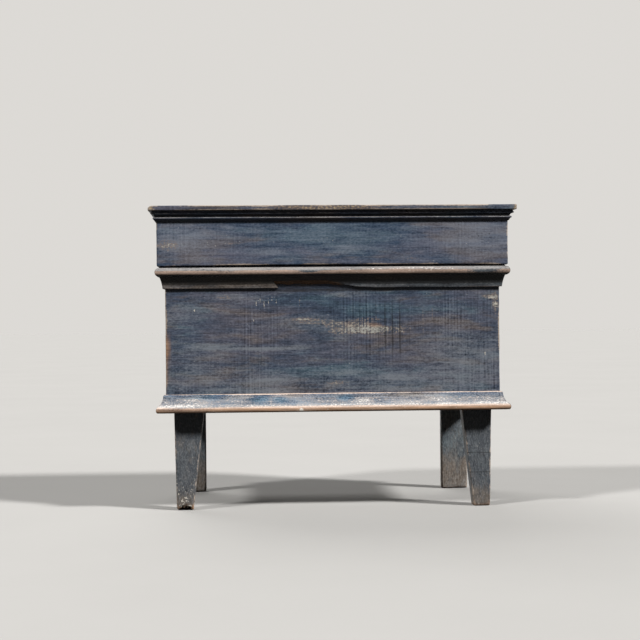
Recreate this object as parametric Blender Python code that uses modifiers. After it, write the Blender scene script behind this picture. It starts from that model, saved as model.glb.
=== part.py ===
"""A blanket chest: a painted case on four legs under a deep hinged lid.

The front faces -Y and +Z is up. The origin is on the floor, under the middle of the chest.
"""

import math

import bmesh
import bpy
from mathutils import Matrix, Vector

# Clearances, in metres
JOINT_GAP = 0.0003  # between fixed pieces that touch
LID_CLEARANCE = 0.001  # lid rails round the outside of the case walls
SEAT_GAP = 0.0005  # lid above the rim that it rests on
BARREL_CLEARANCE = 0.0005  # hinge barrel behind the back of the chest
KNUCKLE_GAP = 0.0004  # between the knuckles of a hinge
FASTENER_SINK = 0.0001  # nail and screw heads below their surface
CUT_MARGIN = 0.005  # how far a cutter stands out of the piece that it cuts
MERGE_DISTANCE = 0.00001  # points this close are one point

# Case
FLOOR_CLEARANCE = 0.249  # floor to the lower edge of the walls
CASE_WIDTH = 0.852
CASE_DEPTH = 0.475
CASE_HEIGHT = 0.369  # wall, from its lower edge to the rim that carries the lid
CASE_WALL = 0.019
LIP_HEIGHT = 0.010  # front and sides above the rim, inside the lid
RABBET_DEPTH = 0.009  # how far the ends of the sides are let into the front and back
BOARD_EASE = 0.0015  # broken edges of the boards

# Bottom of the case
BOTTOM_RISE = 0.060  # lower edge of the walls to the underside of the bottom
BOTTOM_THICKNESS = 0.019
BOTTOM_FRONT_DEPTH = 0.230  # front one of the two bottom boards
CLEAT_DEPTH = 0.025
CLEAT_HEIGHT = 0.030

# Legs
FRONT_LEG_WIDTH = 0.0765
FRONT_LEG_DEPTH = 0.045
FRONT_FOOT_WIDTH = 0.043
FRONT_FOOT_INSET = 0.005  # the outer edge leans in this much at the floor
REAR_LEG_WIDTH = 0.074
REAR_LEG_DEPTH = 0.029
LEG_EASE = 0.002

# Base moulding: a nosing, a shallow hollow and a small ridge
BASE_HEIGHT = 0.047
BASE_PROJECTION = 0.0245
BASE_NOSING_HEIGHT = 0.015
BASE_NOSING_ROUND = 0.0055
BASE_NOSING_END = 60.0  # in degrees, where its round runs into the hollow
BASE_HOLLOW_DEPTH = 0.0035
BASE_RIDGE_HEIGHT = 0.0055
BASE_RIDGE_PROJECTION = 0.0064

# Rim moulding: a foot that slopes out to a large bead, under a flat that carries the lid
RIM_HEIGHT = 0.055
RIM_PROJECTION = 0.025
RIM_BEAD_HEIGHT = 0.0235
RIM_BEAD_DROP = 0.0022  # bead below the flat that carries the lid
RIM_FOOT_PROJECTION = 0.006
RIM_HOLLOW_DEPTH = 0.001

# The splinter missing from the foot of the front rim moulding
BREAK_LEFT = -0.139
BREAK_FULL_END = -0.030  # right end of the break's full height
BREAK_RIGHT = 0.062
BREAK_HEIGHT = 0.0155
BREAK_SLANT = 0.012
BREAK_RIPPLE = 0.0009
BREAK_RIPPLE_TURN = 2.2  # in radians, how far the ripple swings from one point to the next

# Lid
LID_WALL = 0.019
LID_RAIL_HEIGHT = 0.139
TOP_THICKNESS = 0.013
TOP_OVERHANG = 0.020
TOP_FRONT_DEPTH = 0.292  # front one of the two top boards
TOP_EASE = 0.0015

# Lid moulding: a foot that slopes out to a small bead, a hollow, and a fascia with a bead on its lower edge
LID_MOULDING_HEIGHT = 0.0265
LID_FASCIA_HEIGHT = 0.0083
LID_FASCIA_PROJECTION = 0.0115
LID_FASCIA_BEAD = 0.004  # height of the fascia's bead
LID_HOLLOW_FOOT = 0.004
LID_BEAD_HEIGHT = 0.0055
LID_BEAD_PROJECTION = 0.0085
LID_FOOT_HEIGHT = 0.0058
LID_FOOT_PROJECTION = 0.002

# Hinges
HINGE_INSET = 0.165  # middle of a hinge from the end of the case
HINGE_LENGTH = 0.064
LEAF_WIDTH = 0.017
LEAF_THICKNESS = 0.0022
BARREL_RADIUS = 0.0042
PIN_RADIUS = 0.002
PIN_HEAD_RADIUS = 0.0034
PIN_HEAD_THICKNESS = 0.0016
KNUCKLES = 5
TAIL_OVERLAP = 0.002  # how far a knuckle's tail runs into its leaf

# Fasteners
SCREW_LENGTH = 0.018
SCREW_HEAD_RADIUS = 0.0031
SCREW_HEAD_RIM = 0.0003
SCREW_HEAD_DEPTH = 0.0017
SCREW_RADIUS = 0.0016
SCREW_POINT = 0.004
SCREW_END_INSET = 0.009  # outer screws from the ends of a leaf
SCREWS_PER_LEAF = 3
NAIL_LENGTH = 0.038
NAIL_HEAD = 0.0055
NAIL_TIP = 0.002
NAIL_END_INSET = 0.060  # outer nails from the ends of a lid rail
NAILS_PER_LONG_RAIL = 3

# Roundness
SHARP_ANGLE = 0.9  # in radians, the least turn between faces that counts as a corner
FLAT_ANGLE = 0.001  # in radians, the most turn between faces that count as one
ARC_STEP = 10.0  # in degrees, the turn between two points of a round profile
HOLLOW_STEPS = 6
TURN_STEPS = 12
BREAK_STEPS = 7

# Places that follow from the sizes
LID_WIDTH = CASE_WIDTH + 2 * (LID_CLEARANCE + LID_WALL)
TOP_WIDTH = LID_WIDTH + 2 * TOP_OVERHANG
AXIS_SETBACK = BARREL_CLEARANCE + BARREL_RADIUS
FRONT_REACH = LID_CLEARANCE + LID_WALL + TOP_OVERHANG
TOTAL_DEPTH = FRONT_REACH + CASE_DEPTH + AXIS_SETBACK + BARREL_RADIUS
TOP_FRONT_Y = -TOTAL_DEPTH / 2
LID_FRONT_Y = TOP_FRONT_Y + TOP_OVERHANG
CASE_FRONT_Y = TOP_FRONT_Y + FRONT_REACH
BACK_Y = CASE_FRONT_Y + CASE_DEPTH
RIM_Z = FLOOR_CLEARANCE + CASE_HEIGHT
BOTTOM_Z = FLOOR_CLEARANCE + BOTTOM_RISE
LID_Z = RIM_Z + SEAT_GAP
RAIL_TOP_Z = LID_Z + LID_RAIL_HEIGHT
TOP_Z = RAIL_TOP_Z + JOINT_GAP
LID_TOP_Z = TOP_Z + TOP_THICKNESS
HINGE_AXIS = Vector((0.0, BACK_Y + AXIS_SETBACK, RIM_Z + SEAT_GAP / 2))
INNER_HALF_WIDTH = CASE_WIDTH / 2 - CASE_WALL - JOINT_GAP
INNER_FRONT_Y = CASE_FRONT_Y + CASE_WALL + JOINT_GAP
INNER_BACK_Y = BACK_Y - CASE_WALL - JOINT_GAP

UP = Vector((0.0, 0.0, 1.0))


def clear_scene():
    for thing in list(bpy.data.objects):
        bpy.data.objects.remove(thing)


def new_collection(name):
    collection = bpy.data.collections.new(name)
    bpy.context.scene.collection.children.link(collection)
    return collection


def new_material(name, colour, roughness, metallic=0.0):
    material = bpy.data.materials.new(name)
    material.use_nodes = True
    shader = material.node_tree.nodes["Principled BSDF"]
    shader.inputs["Base Color"].default_value = (*colour, 1.0)
    shader.inputs["Roughness"].default_value = roughness
    shader.inputs["Metallic"].default_value = metallic
    return material


def new_part(name, mesh, location, material, parent=None):
    """A named piece of the chest, placed in the world or under the lid's axis."""
    part = bpy.data.objects.new(name, mesh)
    part.location = Vector(location)
    if parent:
        part.parent = parent
        part.location -= parent.location
    mesh.materials.append(material)
    PARTS.objects.link(part)
    return part


def new_cutter(name, mesh, location):
    """A hidden helper that a Boolean takes away from a piece or adds to it."""
    cutter = bpy.data.objects.new(name, mesh)
    cutter.location = Vector(location)
    cutter.hide_render = True
    cutter.display_type = "WIRE"
    CUTTERS.objects.link(cutter)
    return cutter


def boolean(part, cutter, operation="DIFFERENCE"):
    modifier = part.modifiers.new(cutter.name, "BOOLEAN")
    modifier.operation = operation
    modifier.solver = "EXACT"
    modifier.object = cutter


def finish_mesh(bm, name, ease=0.0):
    """Closes a bmesh into a mesh, with its corners broken by the ease."""
    bmesh.ops.recalc_face_normals(bm, faces=bm.faces)
    if ease:
        bm.normal_update()
        corners = [edge for edge in bm.edges if edge.calc_face_angle() > SHARP_ANGLE]
        bmesh.ops.bevel(bm, geom=corners, offset=ease, segments=1, profile=0.5, affect="EDGES")
    mesh = bpy.data.meshes.new(name)
    bm.to_mesh(mesh)
    bm.free()
    return mesh


def box_mesh(name, size, ease=0.0):
    bm = bmesh.new()
    bmesh.ops.create_cube(bm, size=1.0, matrix=Matrix.Diagonal((*size, 1.0)))
    return finish_mesh(bm, name, ease)


def outline_mesh(name, outline, thickness, axes, ease=0.0):
    """A flat outline made solid to both sides, with its own X and Y turned to the two axes."""
    curve = bpy.data.curves.new(name, "CURVE")
    curve.dimensions = "2D"
    curve.fill_mode = "BOTH"
    curve.extrude = thickness / 2
    spline = curve.splines.new("POLY")
    spline.points.add(len(outline) - 1)
    for point, (x, y) in zip(spline.points, outline):
        point.co = (x, y, 0.0, 1.0)
    spline.use_cyclic_u = True
    holder = bpy.data.objects.new(name, curve)
    CUTTERS.objects.link(holder)
    evaluated = holder.evaluated_get(bpy.context.evaluated_depsgraph_get())
    flat = bpy.data.meshes.new_from_object(evaluated)
    bpy.data.objects.remove(holder)
    bpy.data.curves.remove(curve)
    along, across = axes
    turn = Matrix((along, across, along.cross(across))).transposed()
    flat.transform(turn.to_4x4())
    bm = bmesh.new()
    bm.from_mesh(flat)
    bpy.data.meshes.remove(flat)
    bmesh.ops.remove_doubles(bm, verts=bm.verts, dist=MERGE_DISTANCE)
    bmesh.ops.dissolve_limit(bm, angle_limit=FLAT_ANGLE, verts=bm.verts, edges=bm.edges)
    return finish_mesh(bm, name, ease)


def turned_mesh(name, profile):
    """A profile of radius and height, from its top down, turned about Z."""
    outline = bpy.data.meshes.new(name)
    points = [(radius, 0.0, height) for radius, height in profile]
    outline.from_pydata(points, [(i, i + 1) for i in range(len(points) - 1)], [])
    holder = bpy.data.objects.new(name, outline)
    CUTTERS.objects.link(holder)
    screw = holder.modifiers.new("turn", "SCREW")
    screw.axis = "Z"
    screw.steps = TURN_STEPS
    screw.render_steps = TURN_STEPS
    screw.use_merge_vertices = True
    screw.merge_threshold = MERGE_DISTANCE
    evaluated = holder.evaluated_get(bpy.context.evaluated_depsgraph_get())
    mesh = bpy.data.meshes.new_from_object(evaluated)
    bpy.data.objects.remove(holder)
    bpy.data.meshes.remove(outline)
    mesh.name = name
    return mesh


def joined_mesh(name, mesh, places):
    """Copies of one mesh at several places, as one mesh of separate bodies."""
    bm = bmesh.new()
    for place in places:
        start = len(bm.verts)
        bm.from_mesh(mesh)
        bm.verts.ensure_lookup_table()
        bmesh.ops.translate(bm, verts=bm.verts[start:], vec=Vector(place))
    return finish_mesh(bm, name)


def cut_away(mesh, point, normal):
    """Removes what lies past a plane, on the side that its normal points to."""
    bm = bmesh.new()
    bm.from_mesh(mesh)
    everything = bm.verts[:] + bm.edges[:] + bm.faces[:]
    bmesh.ops.bisect_plane(bm, geom=everything, plane_co=point, plane_no=normal, clear_outer=True)
    bmesh.ops.holes_fill(bm, edges=[edge for edge in bm.edges if edge.is_boundary])
    bmesh.ops.recalc_face_normals(bm, faces=bm.faces)
    bm.to_mesh(mesh)
    bm.free()


def arc(centre, radii, start, end):
    """Points along part of an ellipse, from one angle to another in degrees."""
    steps = math.ceil(abs(end - start) / ARC_STEP)
    points = []
    for i in range(steps + 1):
        angle = math.radians(start + (end - start) * i / steps)
        points.append((centre[0] + radii[0] * math.cos(angle), centre[1] + radii[1] * math.sin(angle)))
    return points


def shallow_curve(first, last, depth):
    """Points from one place up to another, bowed towards the wall by a depth at the middle."""
    run = last[0] - first[0]
    rise = last[1] - first[1]
    points = []
    for i in range(HOLLOW_STEPS + 1):
        share = i / HOLLOW_STEPS
        bow = 4 * depth * share * (1 - share) / math.hypot(run, rise)
        points.append((first[0] + share * run - bow * rise, first[1] + share * rise + bow * run))
    return points


def evenly(first, last, count):
    return [first + (last - first) * i / (count - 1) for i in range(count)]


def end_board(name, width, wall, outer_y, inward, low_z, height, parent=None):
    """A front or back board, rabbeted at both ends on its inner face for the sides."""
    place = Vector((0.0, outer_y + inward * wall / 2, low_z + height / 2))
    board = new_part(name, box_mesh(name, (width, wall, height), BOARD_EASE), place, PAINT, parent)
    size = (wall + JOINT_GAP + CUT_MARGIN, RABBET_DEPTH + CUT_MARGIN, height + 2 * CUT_MARGIN)
    rabbet_x = width / 2 - wall - JOINT_GAP + size[0] / 2
    rabbet_y = inward * (wall / 2 - RABBET_DEPTH + size[1] / 2)
    rabbet = box_mesh(f"{name}_rabbet", size)
    rabbets = joined_mesh(f"{name}_rabbets", rabbet, [(side * rabbet_x, rabbet_y, 0.0) for side in (-1, 1)])
    boolean(board, new_cutter(f"{name}_rabbets", rabbets, place))
    return board


def build_case_boards():
    lip_top = CASE_HEIGHT + LIP_HEIGHT
    end_board("case_front_board", CASE_WIDTH, CASE_WALL, CASE_FRONT_Y, 1, FLOOR_CLEARANCE, lip_top)
    end_board("case_back_board", CASE_WIDTH, CASE_WALL, BACK_Y, -1, FLOOR_CLEARANCE, CASE_HEIGHT)
    let_in = CASE_WALL - RABBET_DEPTH + JOINT_GAP
    size = (CASE_WALL, CASE_DEPTH - 2 * let_in, lip_top)
    middle_y = (CASE_FRONT_Y + BACK_Y) / 2
    lip_back = BACK_Y - LID_WALL - LID_CLEARANCE
    notch_size = (CASE_WALL + 2 * CUT_MARGIN, CASE_WALL + LID_WALL, LIP_HEIGHT + CUT_MARGIN)
    notch_place = (lip_back + notch_size[1] / 2, RIM_Z + notch_size[2] / 2)
    for name, side in (("case_left_side", -1), ("case_right_side", 1)):
        x = side * (CASE_WIDTH - CASE_WALL) / 2
        place = (x, middle_y, FLOOR_CLEARANCE + lip_top / 2)
        board = new_part(name, box_mesh(name, size, BOARD_EASE), place, PAINT)
        notch = box_mesh(f"{name}_notch", notch_size)
        boolean(board, new_cutter(f"{name}_notch", notch, (x, *notch_place)))


def build_bottom():
    seam = INNER_FRONT_Y + BOTTOM_FRONT_DEPTH
    boards = (
        ("bottom_front_board", INNER_FRONT_Y, seam),
        ("bottom_rear_board", seam + JOINT_GAP, INNER_BACK_Y),
    )
    for name, front, back in boards:
        size = (2 * INNER_HALF_WIDTH, back - front, BOTTOM_THICKNESS)
        place = (0.0, (front + back) / 2, BOTTOM_Z + BOTTOM_THICKNESS / 2)
        new_part(name, box_mesh(name, size, BOARD_EASE), place, BARE_WOOD)
    cleats = (
        ("bottom_cleat_front", FRONT_LEG_WIDTH, INNER_FRONT_Y + CLEAT_DEPTH / 2),
        ("bottom_cleat_back", REAR_LEG_WIDTH, INNER_BACK_Y - CLEAT_DEPTH / 2),
    )
    for name, leg_width, middle in cleats:
        size = (2 * (INNER_HALF_WIDTH - leg_width - JOINT_GAP), CLEAT_DEPTH, CLEAT_HEIGHT)
        place = (0.0, middle, BOTTOM_Z - JOINT_GAP - CLEAT_HEIGHT / 2)
        new_part(name, box_mesh(name, size, BOARD_EASE), place, BARE_WOOD)


def build_legs():
    top = BOTTOM_Z - JOINT_GAP
    for name, side in (("left", -1), ("right", 1)):
        corner = side * INNER_HALF_WIDTH
        inset = side * FRONT_FOOT_INSET
        foot = side * FRONT_FOOT_WIDTH
        width = side * FRONT_LEG_WIDTH
        front_outline = [
            (corner, top),
            (corner, FLOOR_CLEARANCE),
            (corner - inset, 0.0),
            (corner - inset - foot, 0.0),
            (corner - width, FLOOR_CLEARANCE),
            (corner - width, top),
        ]
        axes = (Vector((1, 0, 0)), UP)
        front_name = f"front_{name}_leg"
        mesh = outline_mesh(front_name, front_outline, FRONT_LEG_DEPTH, axes, LEG_EASE)
        new_part(front_name, mesh, (0.0, INNER_FRONT_Y + FRONT_LEG_DEPTH / 2, 0.0), PAINT)
        rear_name = f"rear_{name}_leg"
        size = (REAR_LEG_WIDTH, REAR_LEG_DEPTH, top)
        place = (corner - side * REAR_LEG_WIDTH / 2, INNER_BACK_Y - REAR_LEG_DEPTH / 2, top / 2)
        new_part(rear_name, box_mesh(rear_name, size, LEG_EASE), place, PAINT)


def base_outline():
    half_nosing = BASE_NOSING_HEIGHT / 2
    nosing_x = BASE_PROJECTION - BASE_NOSING_ROUND
    nosing = arc((nosing_x, half_nosing), (BASE_NOSING_ROUND, half_nosing), -90, BASE_NOSING_END)
    ridge_z = BASE_HEIGHT - BASE_RIDGE_HEIGHT
    ridge_radii = (BASE_RIDGE_PROJECTION - JOINT_GAP, BASE_RIDGE_HEIGHT)
    ridge = arc((JOINT_GAP, ridge_z), ridge_radii, 0, 90)
    hollow = shallow_curve(nosing[-1], ridge[0], BASE_HOLLOW_DEPTH)
    return [(JOINT_GAP, 0.0), *nosing, *hollow[1:-1], *ridge]


def rim_outline():
    radius = RIM_BEAD_HEIGHT / 2
    bead_x = RIM_PROJECTION - radius
    bead_z = RIM_HEIGHT - RIM_BEAD_DROP - radius
    bead = arc((bead_x, bead_z), (radius, radius), -90, 90)
    slope = shallow_curve((RIM_FOOT_PROJECTION, 0.0), bead[0], RIM_HOLLOW_DEPTH)
    return [(JOINT_GAP, 0.0), *slope[:-1], *bead, (bead_x, RIM_HEIGHT), (JOINT_GAP, RIM_HEIGHT)]


def lid_outline():
    radius = LID_BEAD_HEIGHT / 2
    bead_top = LID_FOOT_HEIGHT + LID_BEAD_HEIGHT
    fascia_z = LID_MOULDING_HEIGHT - LID_FASCIA_HEIGHT
    fascia_radius = LID_FASCIA_BEAD / 2
    hollow = (LID_FASCIA_PROJECTION - LID_HOLLOW_FOOT, fascia_z - bead_top)
    return [
        (JOINT_GAP, 0.0),
        (LID_FOOT_PROJECTION, 0.0),
        *arc((LID_BEAD_PROJECTION - radius, LID_FOOT_HEIGHT + radius), (radius, radius), -90, 90),
        *arc((LID_FASCIA_PROJECTION, bead_top), hollow, 180, 90)[:-1],
        *arc((LID_FASCIA_PROJECTION, fascia_z + fascia_radius), (fascia_radius, fascia_radius), -90, 90),
        (LID_FASCIA_PROJECTION, LID_MOULDING_HEIGHT),
        (JOINT_GAP, LID_MOULDING_HEIGHT),
    ]


def build_moulding(stem, outline, width, front_y, low_z, parent=None):
    """Front, left and right runs of one profile, mitred at the two front corners."""
    half = width / 2
    reach = max(out for out, _ in outline)
    depth = BACK_Y - front_y + reach
    side_y = BACK_Y - depth / 2
    runs = (
        ("front", Vector((0, -1, 0)), 2 * (half + reach), Vector((0, front_y, low_z)), (-1, 1)),
        ("left", Vector((-1, 0, 0)), depth, Vector((-half, side_y, low_z)), (-1,)),
        ("right", Vector((1, 0, 0)), depth, Vector((half, side_y, low_z)), (1,)),
    )
    made = {}
    for run, outward, length, place, corners in runs:
        name = f"{stem}_{run}"
        mesh = outline_mesh(name, outline, length, (outward, UP))
        keep = -1 if run == "front" else 1
        for side in corners:
            mitre = Vector((side, 1, 0)).normalized()
            corner = Vector((side * half, front_y, low_z)) - place
            cut_away(mesh, corner + keep * mitre * JOINT_GAP / 2, -keep * mitre)
        made[run] = new_part(name, mesh, place, PAINT, parent)
    return made


def break_outline():
    """The missing splinter, seen from the front: a slanted end, a rippled edge and a sweep down."""
    points = [(BREAK_LEFT, -CUT_MARGIN), (BREAK_LEFT, 0.0), (BREAK_LEFT - BREAK_SLANT, BREAK_HEIGHT)]
    flat_start = BREAK_LEFT - BREAK_SLANT
    for i in range(1, BREAK_STEPS + 1):
        x = flat_start + (BREAK_FULL_END - flat_start) * i / BREAK_STEPS
        points.append((x, BREAK_HEIGHT + BREAK_RIPPLE * math.sin(BREAK_RIPPLE_TURN * i)))
    for i in range(1, BREAK_STEPS + 1):
        share = i / BREAK_STEPS
        x = BREAK_FULL_END + (BREAK_RIGHT - BREAK_FULL_END) * share
        points.append((x, BREAK_HEIGHT * (1 + math.cos(math.pi * share)) / 2))
    points.append((BREAK_RIGHT, -CUT_MARGIN))
    return points


def build_mouldings():
    build_moulding("base_moulding", base_outline(), CASE_WIDTH, CASE_FRONT_Y, FLOOR_CLEARANCE)
    rim_low = RIM_Z - RIM_HEIGHT
    rim = build_moulding("rim_moulding", rim_outline(), CASE_WIDTH, CASE_FRONT_Y, rim_low)
    build_moulding("lid_moulding", lid_outline(), LID_WIDTH, LID_FRONT_Y,
                   RAIL_TOP_Z - LID_MOULDING_HEIGHT, LID_AXIS)
    depth = RIM_PROJECTION + 2 * CUT_MARGIN
    mesh = outline_mesh("missing_splinter", break_outline(), depth, (Vector((1, 0, 0)), UP))
    middle_y = CASE_FRONT_Y - RIM_PROJECTION / 2
    boolean(rim["front"], new_cutter("missing_splinter", mesh, (0.0, middle_y, rim_low)))


def build_lid_boards():
    """The lid's four rails and the two boards of its top, by name."""
    boards = {}
    rails = (("lid_front_rail", LID_FRONT_Y, 1), ("lid_back_rail", BACK_Y, -1))
    for name, outer_y, inward in rails:
        boards[name] = end_board(name, LID_WIDTH, LID_WALL, outer_y, inward, LID_Z,
                                 LID_RAIL_HEIGHT, LID_AXIS)
    let_in = LID_WALL - RABBET_DEPTH + JOINT_GAP
    side_size = (LID_WALL, BACK_Y - LID_FRONT_Y - 2 * let_in, LID_RAIL_HEIGHT)
    side_y = (BACK_Y + LID_FRONT_Y) / 2
    for name, side in (("lid_left_rail", -1), ("lid_right_rail", 1)):
        place = (side * (LID_WIDTH - LID_WALL) / 2, side_y, LID_Z + LID_RAIL_HEIGHT / 2)
        mesh = box_mesh(name, side_size, BOARD_EASE)
        boards[name] = new_part(name, mesh, place, PAINT, LID_AXIS)
    seam = TOP_FRONT_Y + TOP_FRONT_DEPTH
    middle_y = (TOP_FRONT_Y + BACK_Y) / 2
    tops = (("lid_top_front_board", seam, 1), ("lid_top_rear_board", seam + JOINT_GAP, -1))
    for name, edge_y, past_edge in tops:
        size = (TOP_WIDTH, BACK_Y - TOP_FRONT_Y, TOP_THICKNESS)
        mesh = box_mesh(name, size, min(TOP_EASE, TOP_THICKNESS / 3))
        cut_away(mesh, Vector((0, edge_y - middle_y, 0)), Vector((0, past_edge, 0)))
        place = (0.0, middle_y, TOP_Z + TOP_THICKNESS / 2)
        boards[name] = new_part(name, mesh, place, PAINT, LID_AXIS)
    return boards


def square_taper(name, top_side, tip_side, top_z, tip_z):
    """A four-sided taper along Z, as a cut nail is."""
    bm = bmesh.new()
    place = Matrix.Translation((0.0, 0.0, (top_z + tip_z) / 2)) @ Matrix.Rotation(math.pi / 4, 4, "Z")
    bmesh.ops.create_cone(bm, cap_ends=True, segments=4, radius1=tip_side / math.sqrt(2),
                          radius2=top_side / math.sqrt(2), depth=top_z - tip_z, matrix=place)
    return finish_mesh(bm, name)


def build_top_nails(boards):
    """Nails down through the top boards into the rails, each with its own hole."""
    rail_x = (LID_WIDTH - LID_WALL) / 2
    seam = TOP_FRONT_Y + TOP_FRONT_DEPTH
    nails = []
    end_x = LID_WIDTH / 2 - NAIL_END_INSET
    for x in evenly(-end_x, end_x, NAILS_PER_LONG_RAIL):
        nails.append((x, LID_FRONT_Y + LID_WALL / 2, "lid_top_front_board", "lid_front_rail"))
        nails.append((x, BACK_Y - LID_WALL / 2, "lid_top_rear_board", "lid_back_rail"))
    for side, rail in ((-1, "lid_left_rail"), (1, "lid_right_rail")):
        nails.append((side * rail_x, (LID_FRONT_Y + seam) / 2, "lid_top_front_board", rail))
        nails.append((side * rail_x, (BACK_Y + seam) / 2, "lid_top_rear_board", rail))
    slack = 2 * JOINT_GAP
    for number, (x, y, board, rail) in enumerate(nails, 1):
        name = f"lid_top_nail_{number}"
        place = (x, y, LID_TOP_Z - FASTENER_SINK)
        mesh = square_taper(name, NAIL_HEAD, NAIL_TIP, 0.0, -NAIL_LENGTH)
        new_part(name, mesh, place, IRON, LID_AXIS)
        hole = square_taper(f"{name}_hole", NAIL_HEAD + slack, NAIL_TIP + slack,
                            FASTENER_SINK + CUT_MARGIN, -NAIL_LENGTH - JOINT_GAP)
        cutter = new_cutter(f"{name}_hole", hole, place)
        boolean(boards[board], cutter)
        boolean(boards[rail], cutter)


def screw_profile(slack, top):
    """A countersunk wood screw from its head down, grown by a slack for its hole."""
    head = SCREW_HEAD_RADIUS + slack
    shank = SCREW_RADIUS + slack
    return [
        (0.0, top),
        (head, top),
        (head, -SCREW_HEAD_RIM - slack),
        (shank, -SCREW_HEAD_DEPTH - slack),
        (shank, SCREW_POINT - SCREW_LENGTH - slack),
        (0.0, -SCREW_LENGTH - slack),
    ]


def knuckle_outline(side):
    """A barrel with its tail, seen along the pin: the tail is below (-1) or above (1) the axis."""
    near = SEAT_GAP / 2
    far = near + LEAF_THICKNESS
    tail = -AXIS_SETBACK - TAIL_OVERLAP
    start = math.degrees(math.asin(near / BARREL_RADIUS))
    end = math.degrees(math.asin(far / BARREL_RADIUS))
    barrel = arc((0.0, 0.0), (BARREL_RADIUS, BARREL_RADIUS), 180 - end, -180 - start)
    points = [(tail, near), (tail, far), *barrel]
    return [(y, side * z) for y, z in points]


def build_hinge(stem, x, back_board, lid_rail):
    """One butt hinge: two leaves let into the back of the case and lid, a pin and the screws."""
    pitch = HINGE_LENGTH / KNUCKLES
    leaf_y = BACK_Y - LEAF_WIDTH / 2
    screw_xs = evenly(SCREW_END_INSET - HINGE_LENGTH / 2, HINGE_LENGTH / 2 - SCREW_END_INSET,
                      SCREWS_PER_LEAF)
    axes = (Vector((0, 1, 0)), UP)
    bore = turned_mesh(f"{stem}_bore", [
        (0.0, HINGE_LENGTH / 2 + CUT_MARGIN),
        (PIN_RADIUS + JOINT_GAP, HINGE_LENGTH / 2 + CUT_MARGIN),
        (PIN_RADIUS + JOINT_GAP, -HINGE_LENGTH / 2 - CUT_MARGIN),
        (0.0, -HINGE_LENGTH / 2 - CUT_MARGIN),
    ])
    bore.transform(Matrix.Rotation(math.pi / 2, 4, "Y"))
    axis = HINGE_AXIS + Vector((x, 0.0, 0.0))
    bore_cutter = new_cutter(f"{stem}_bore", bore, axis)
    leaves = (
        ("case", -1, RIM_Z, back_board, None, 0),
        ("lid", 1, LID_Z, lid_rail, LID_AXIS, 1),
    )
    for owner, side, face_z, wood, parent, first_knuckle in leaves:
        name = f"{stem}_{owner}_leaf"
        middle_z = face_z + side * LEAF_THICKNESS / 2
        plate = box_mesh(name, (HINGE_LENGTH - KNUCKLE_GAP, LEAF_WIDTH, LEAF_THICKNESS))
        leaf = new_part(name, plate, (x, leaf_y, middle_z), IRON, parent)
        knuckle = outline_mesh(f"{name}_knuckle", knuckle_outline(side), pitch - KNUCKLE_GAP, axes)
        places = []
        for i in range(first_knuckle, KNUCKLES, 2):
            places.append((pitch * (i + 0.5) - HINGE_LENGTH / 2, 0.0, 0.0))
        knuckles = joined_mesh(f"{name}_knuckles", knuckle, places)
        boolean(leaf, new_cutter(f"{name}_knuckles", knuckles, axis), "UNION")
        boolean(leaf, bore_cutter)
        mortise_size = (
            HINGE_LENGTH + 2 * JOINT_GAP,
            LEAF_WIDTH + JOINT_GAP + CUT_MARGIN,
            LEAF_THICKNESS + JOINT_GAP + CUT_MARGIN,
        )
        mortise_y = BACK_Y + (CUT_MARGIN - LEAF_WIDTH - JOINT_GAP) / 2
        mortise_z = face_z + side * (LEAF_THICKNESS + JOINT_GAP - CUT_MARGIN) / 2
        mortise = box_mesh(f"{name}_mortise", mortise_size)
        boolean(wood, new_cutter(f"{name}_mortise", mortise, (x, mortise_y, mortise_z)))
        turn = Matrix.Rotation(math.pi if side > 0 else 0.0, 4, "X")
        head_z = face_z + side * FASTENER_SINK
        hole = turned_mesh(f"{name}_hole", screw_profile(JOINT_GAP, CUT_MARGIN))
        hole.transform(turn)
        holes = joined_mesh(f"{name}_holes", hole, [(screw_x, 0.0, 0.0) for screw_x in screw_xs])
        holes_cutter = new_cutter(f"{name}_holes", holes, (x, leaf_y, head_z))
        boolean(leaf, holes_cutter)
        boolean(wood, holes_cutter)
        for number, screw_x in enumerate(screw_xs, 1):
            screw_name = f"{stem}_{owner}_screw_{number}"
            screw = turned_mesh(screw_name, screw_profile(0.0, 0.0))
            screw.transform(turn)
            new_part(screw_name, screw, (x + screw_x, leaf_y, head_z), IRON, parent)
    half_pin = (HINGE_LENGTH - KNUCKLE_GAP) / 2 + JOINT_GAP
    end = half_pin + PIN_HEAD_THICKNESS
    pin = turned_mesh(f"{stem}_pin", [
        (0.0, end),
        (PIN_HEAD_RADIUS, end),
        (PIN_HEAD_RADIUS, half_pin),
        (PIN_RADIUS, half_pin),
        (PIN_RADIUS, -half_pin),
        (PIN_HEAD_RADIUS, -half_pin),
        (PIN_HEAD_RADIUS, -end),
        (0.0, -end),
    ])
    pin.transform(Matrix.Rotation(math.pi / 2, 4, "Y"))
    new_part(f"{stem}_pin", pin, axis, IRON)


clear_scene()
PARTS = new_collection("blanket_chest")
CUTTERS = new_collection("cutters")
PAINT = new_material("worn_blue_paint", (0.075, 0.095, 0.125), 0.6)
BARE_WOOD = new_material("aged_bare_pine", (0.30, 0.20, 0.11), 0.75)
IRON = new_material("dark_iron", (0.06, 0.055, 0.05), 0.55, 0.8)
LID_AXIS = bpy.data.objects.new("lid_axis", None)
LID_AXIS.location = HINGE_AXIS
PARTS.objects.link(LID_AXIS)

build_case_boards()
build_bottom()
build_legs()
build_mouldings()
LID_BOARDS = build_lid_boards()
build_top_nails(LID_BOARDS)
for hinge_side, hinge_name in ((-1, "left_hinge"), (1, "right_hinge")):
    build_hinge(hinge_name, hinge_side * (CASE_WIDTH / 2 - HINGE_INSET),
                bpy.data.objects["case_back_board"], LID_BOARDS["lid_back_rail"])
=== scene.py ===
import math
from functools import cached_property

import bmesh
import bpy
import numpy as np
from mathutils import Matrix, Vector, kdtree, noise


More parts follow.
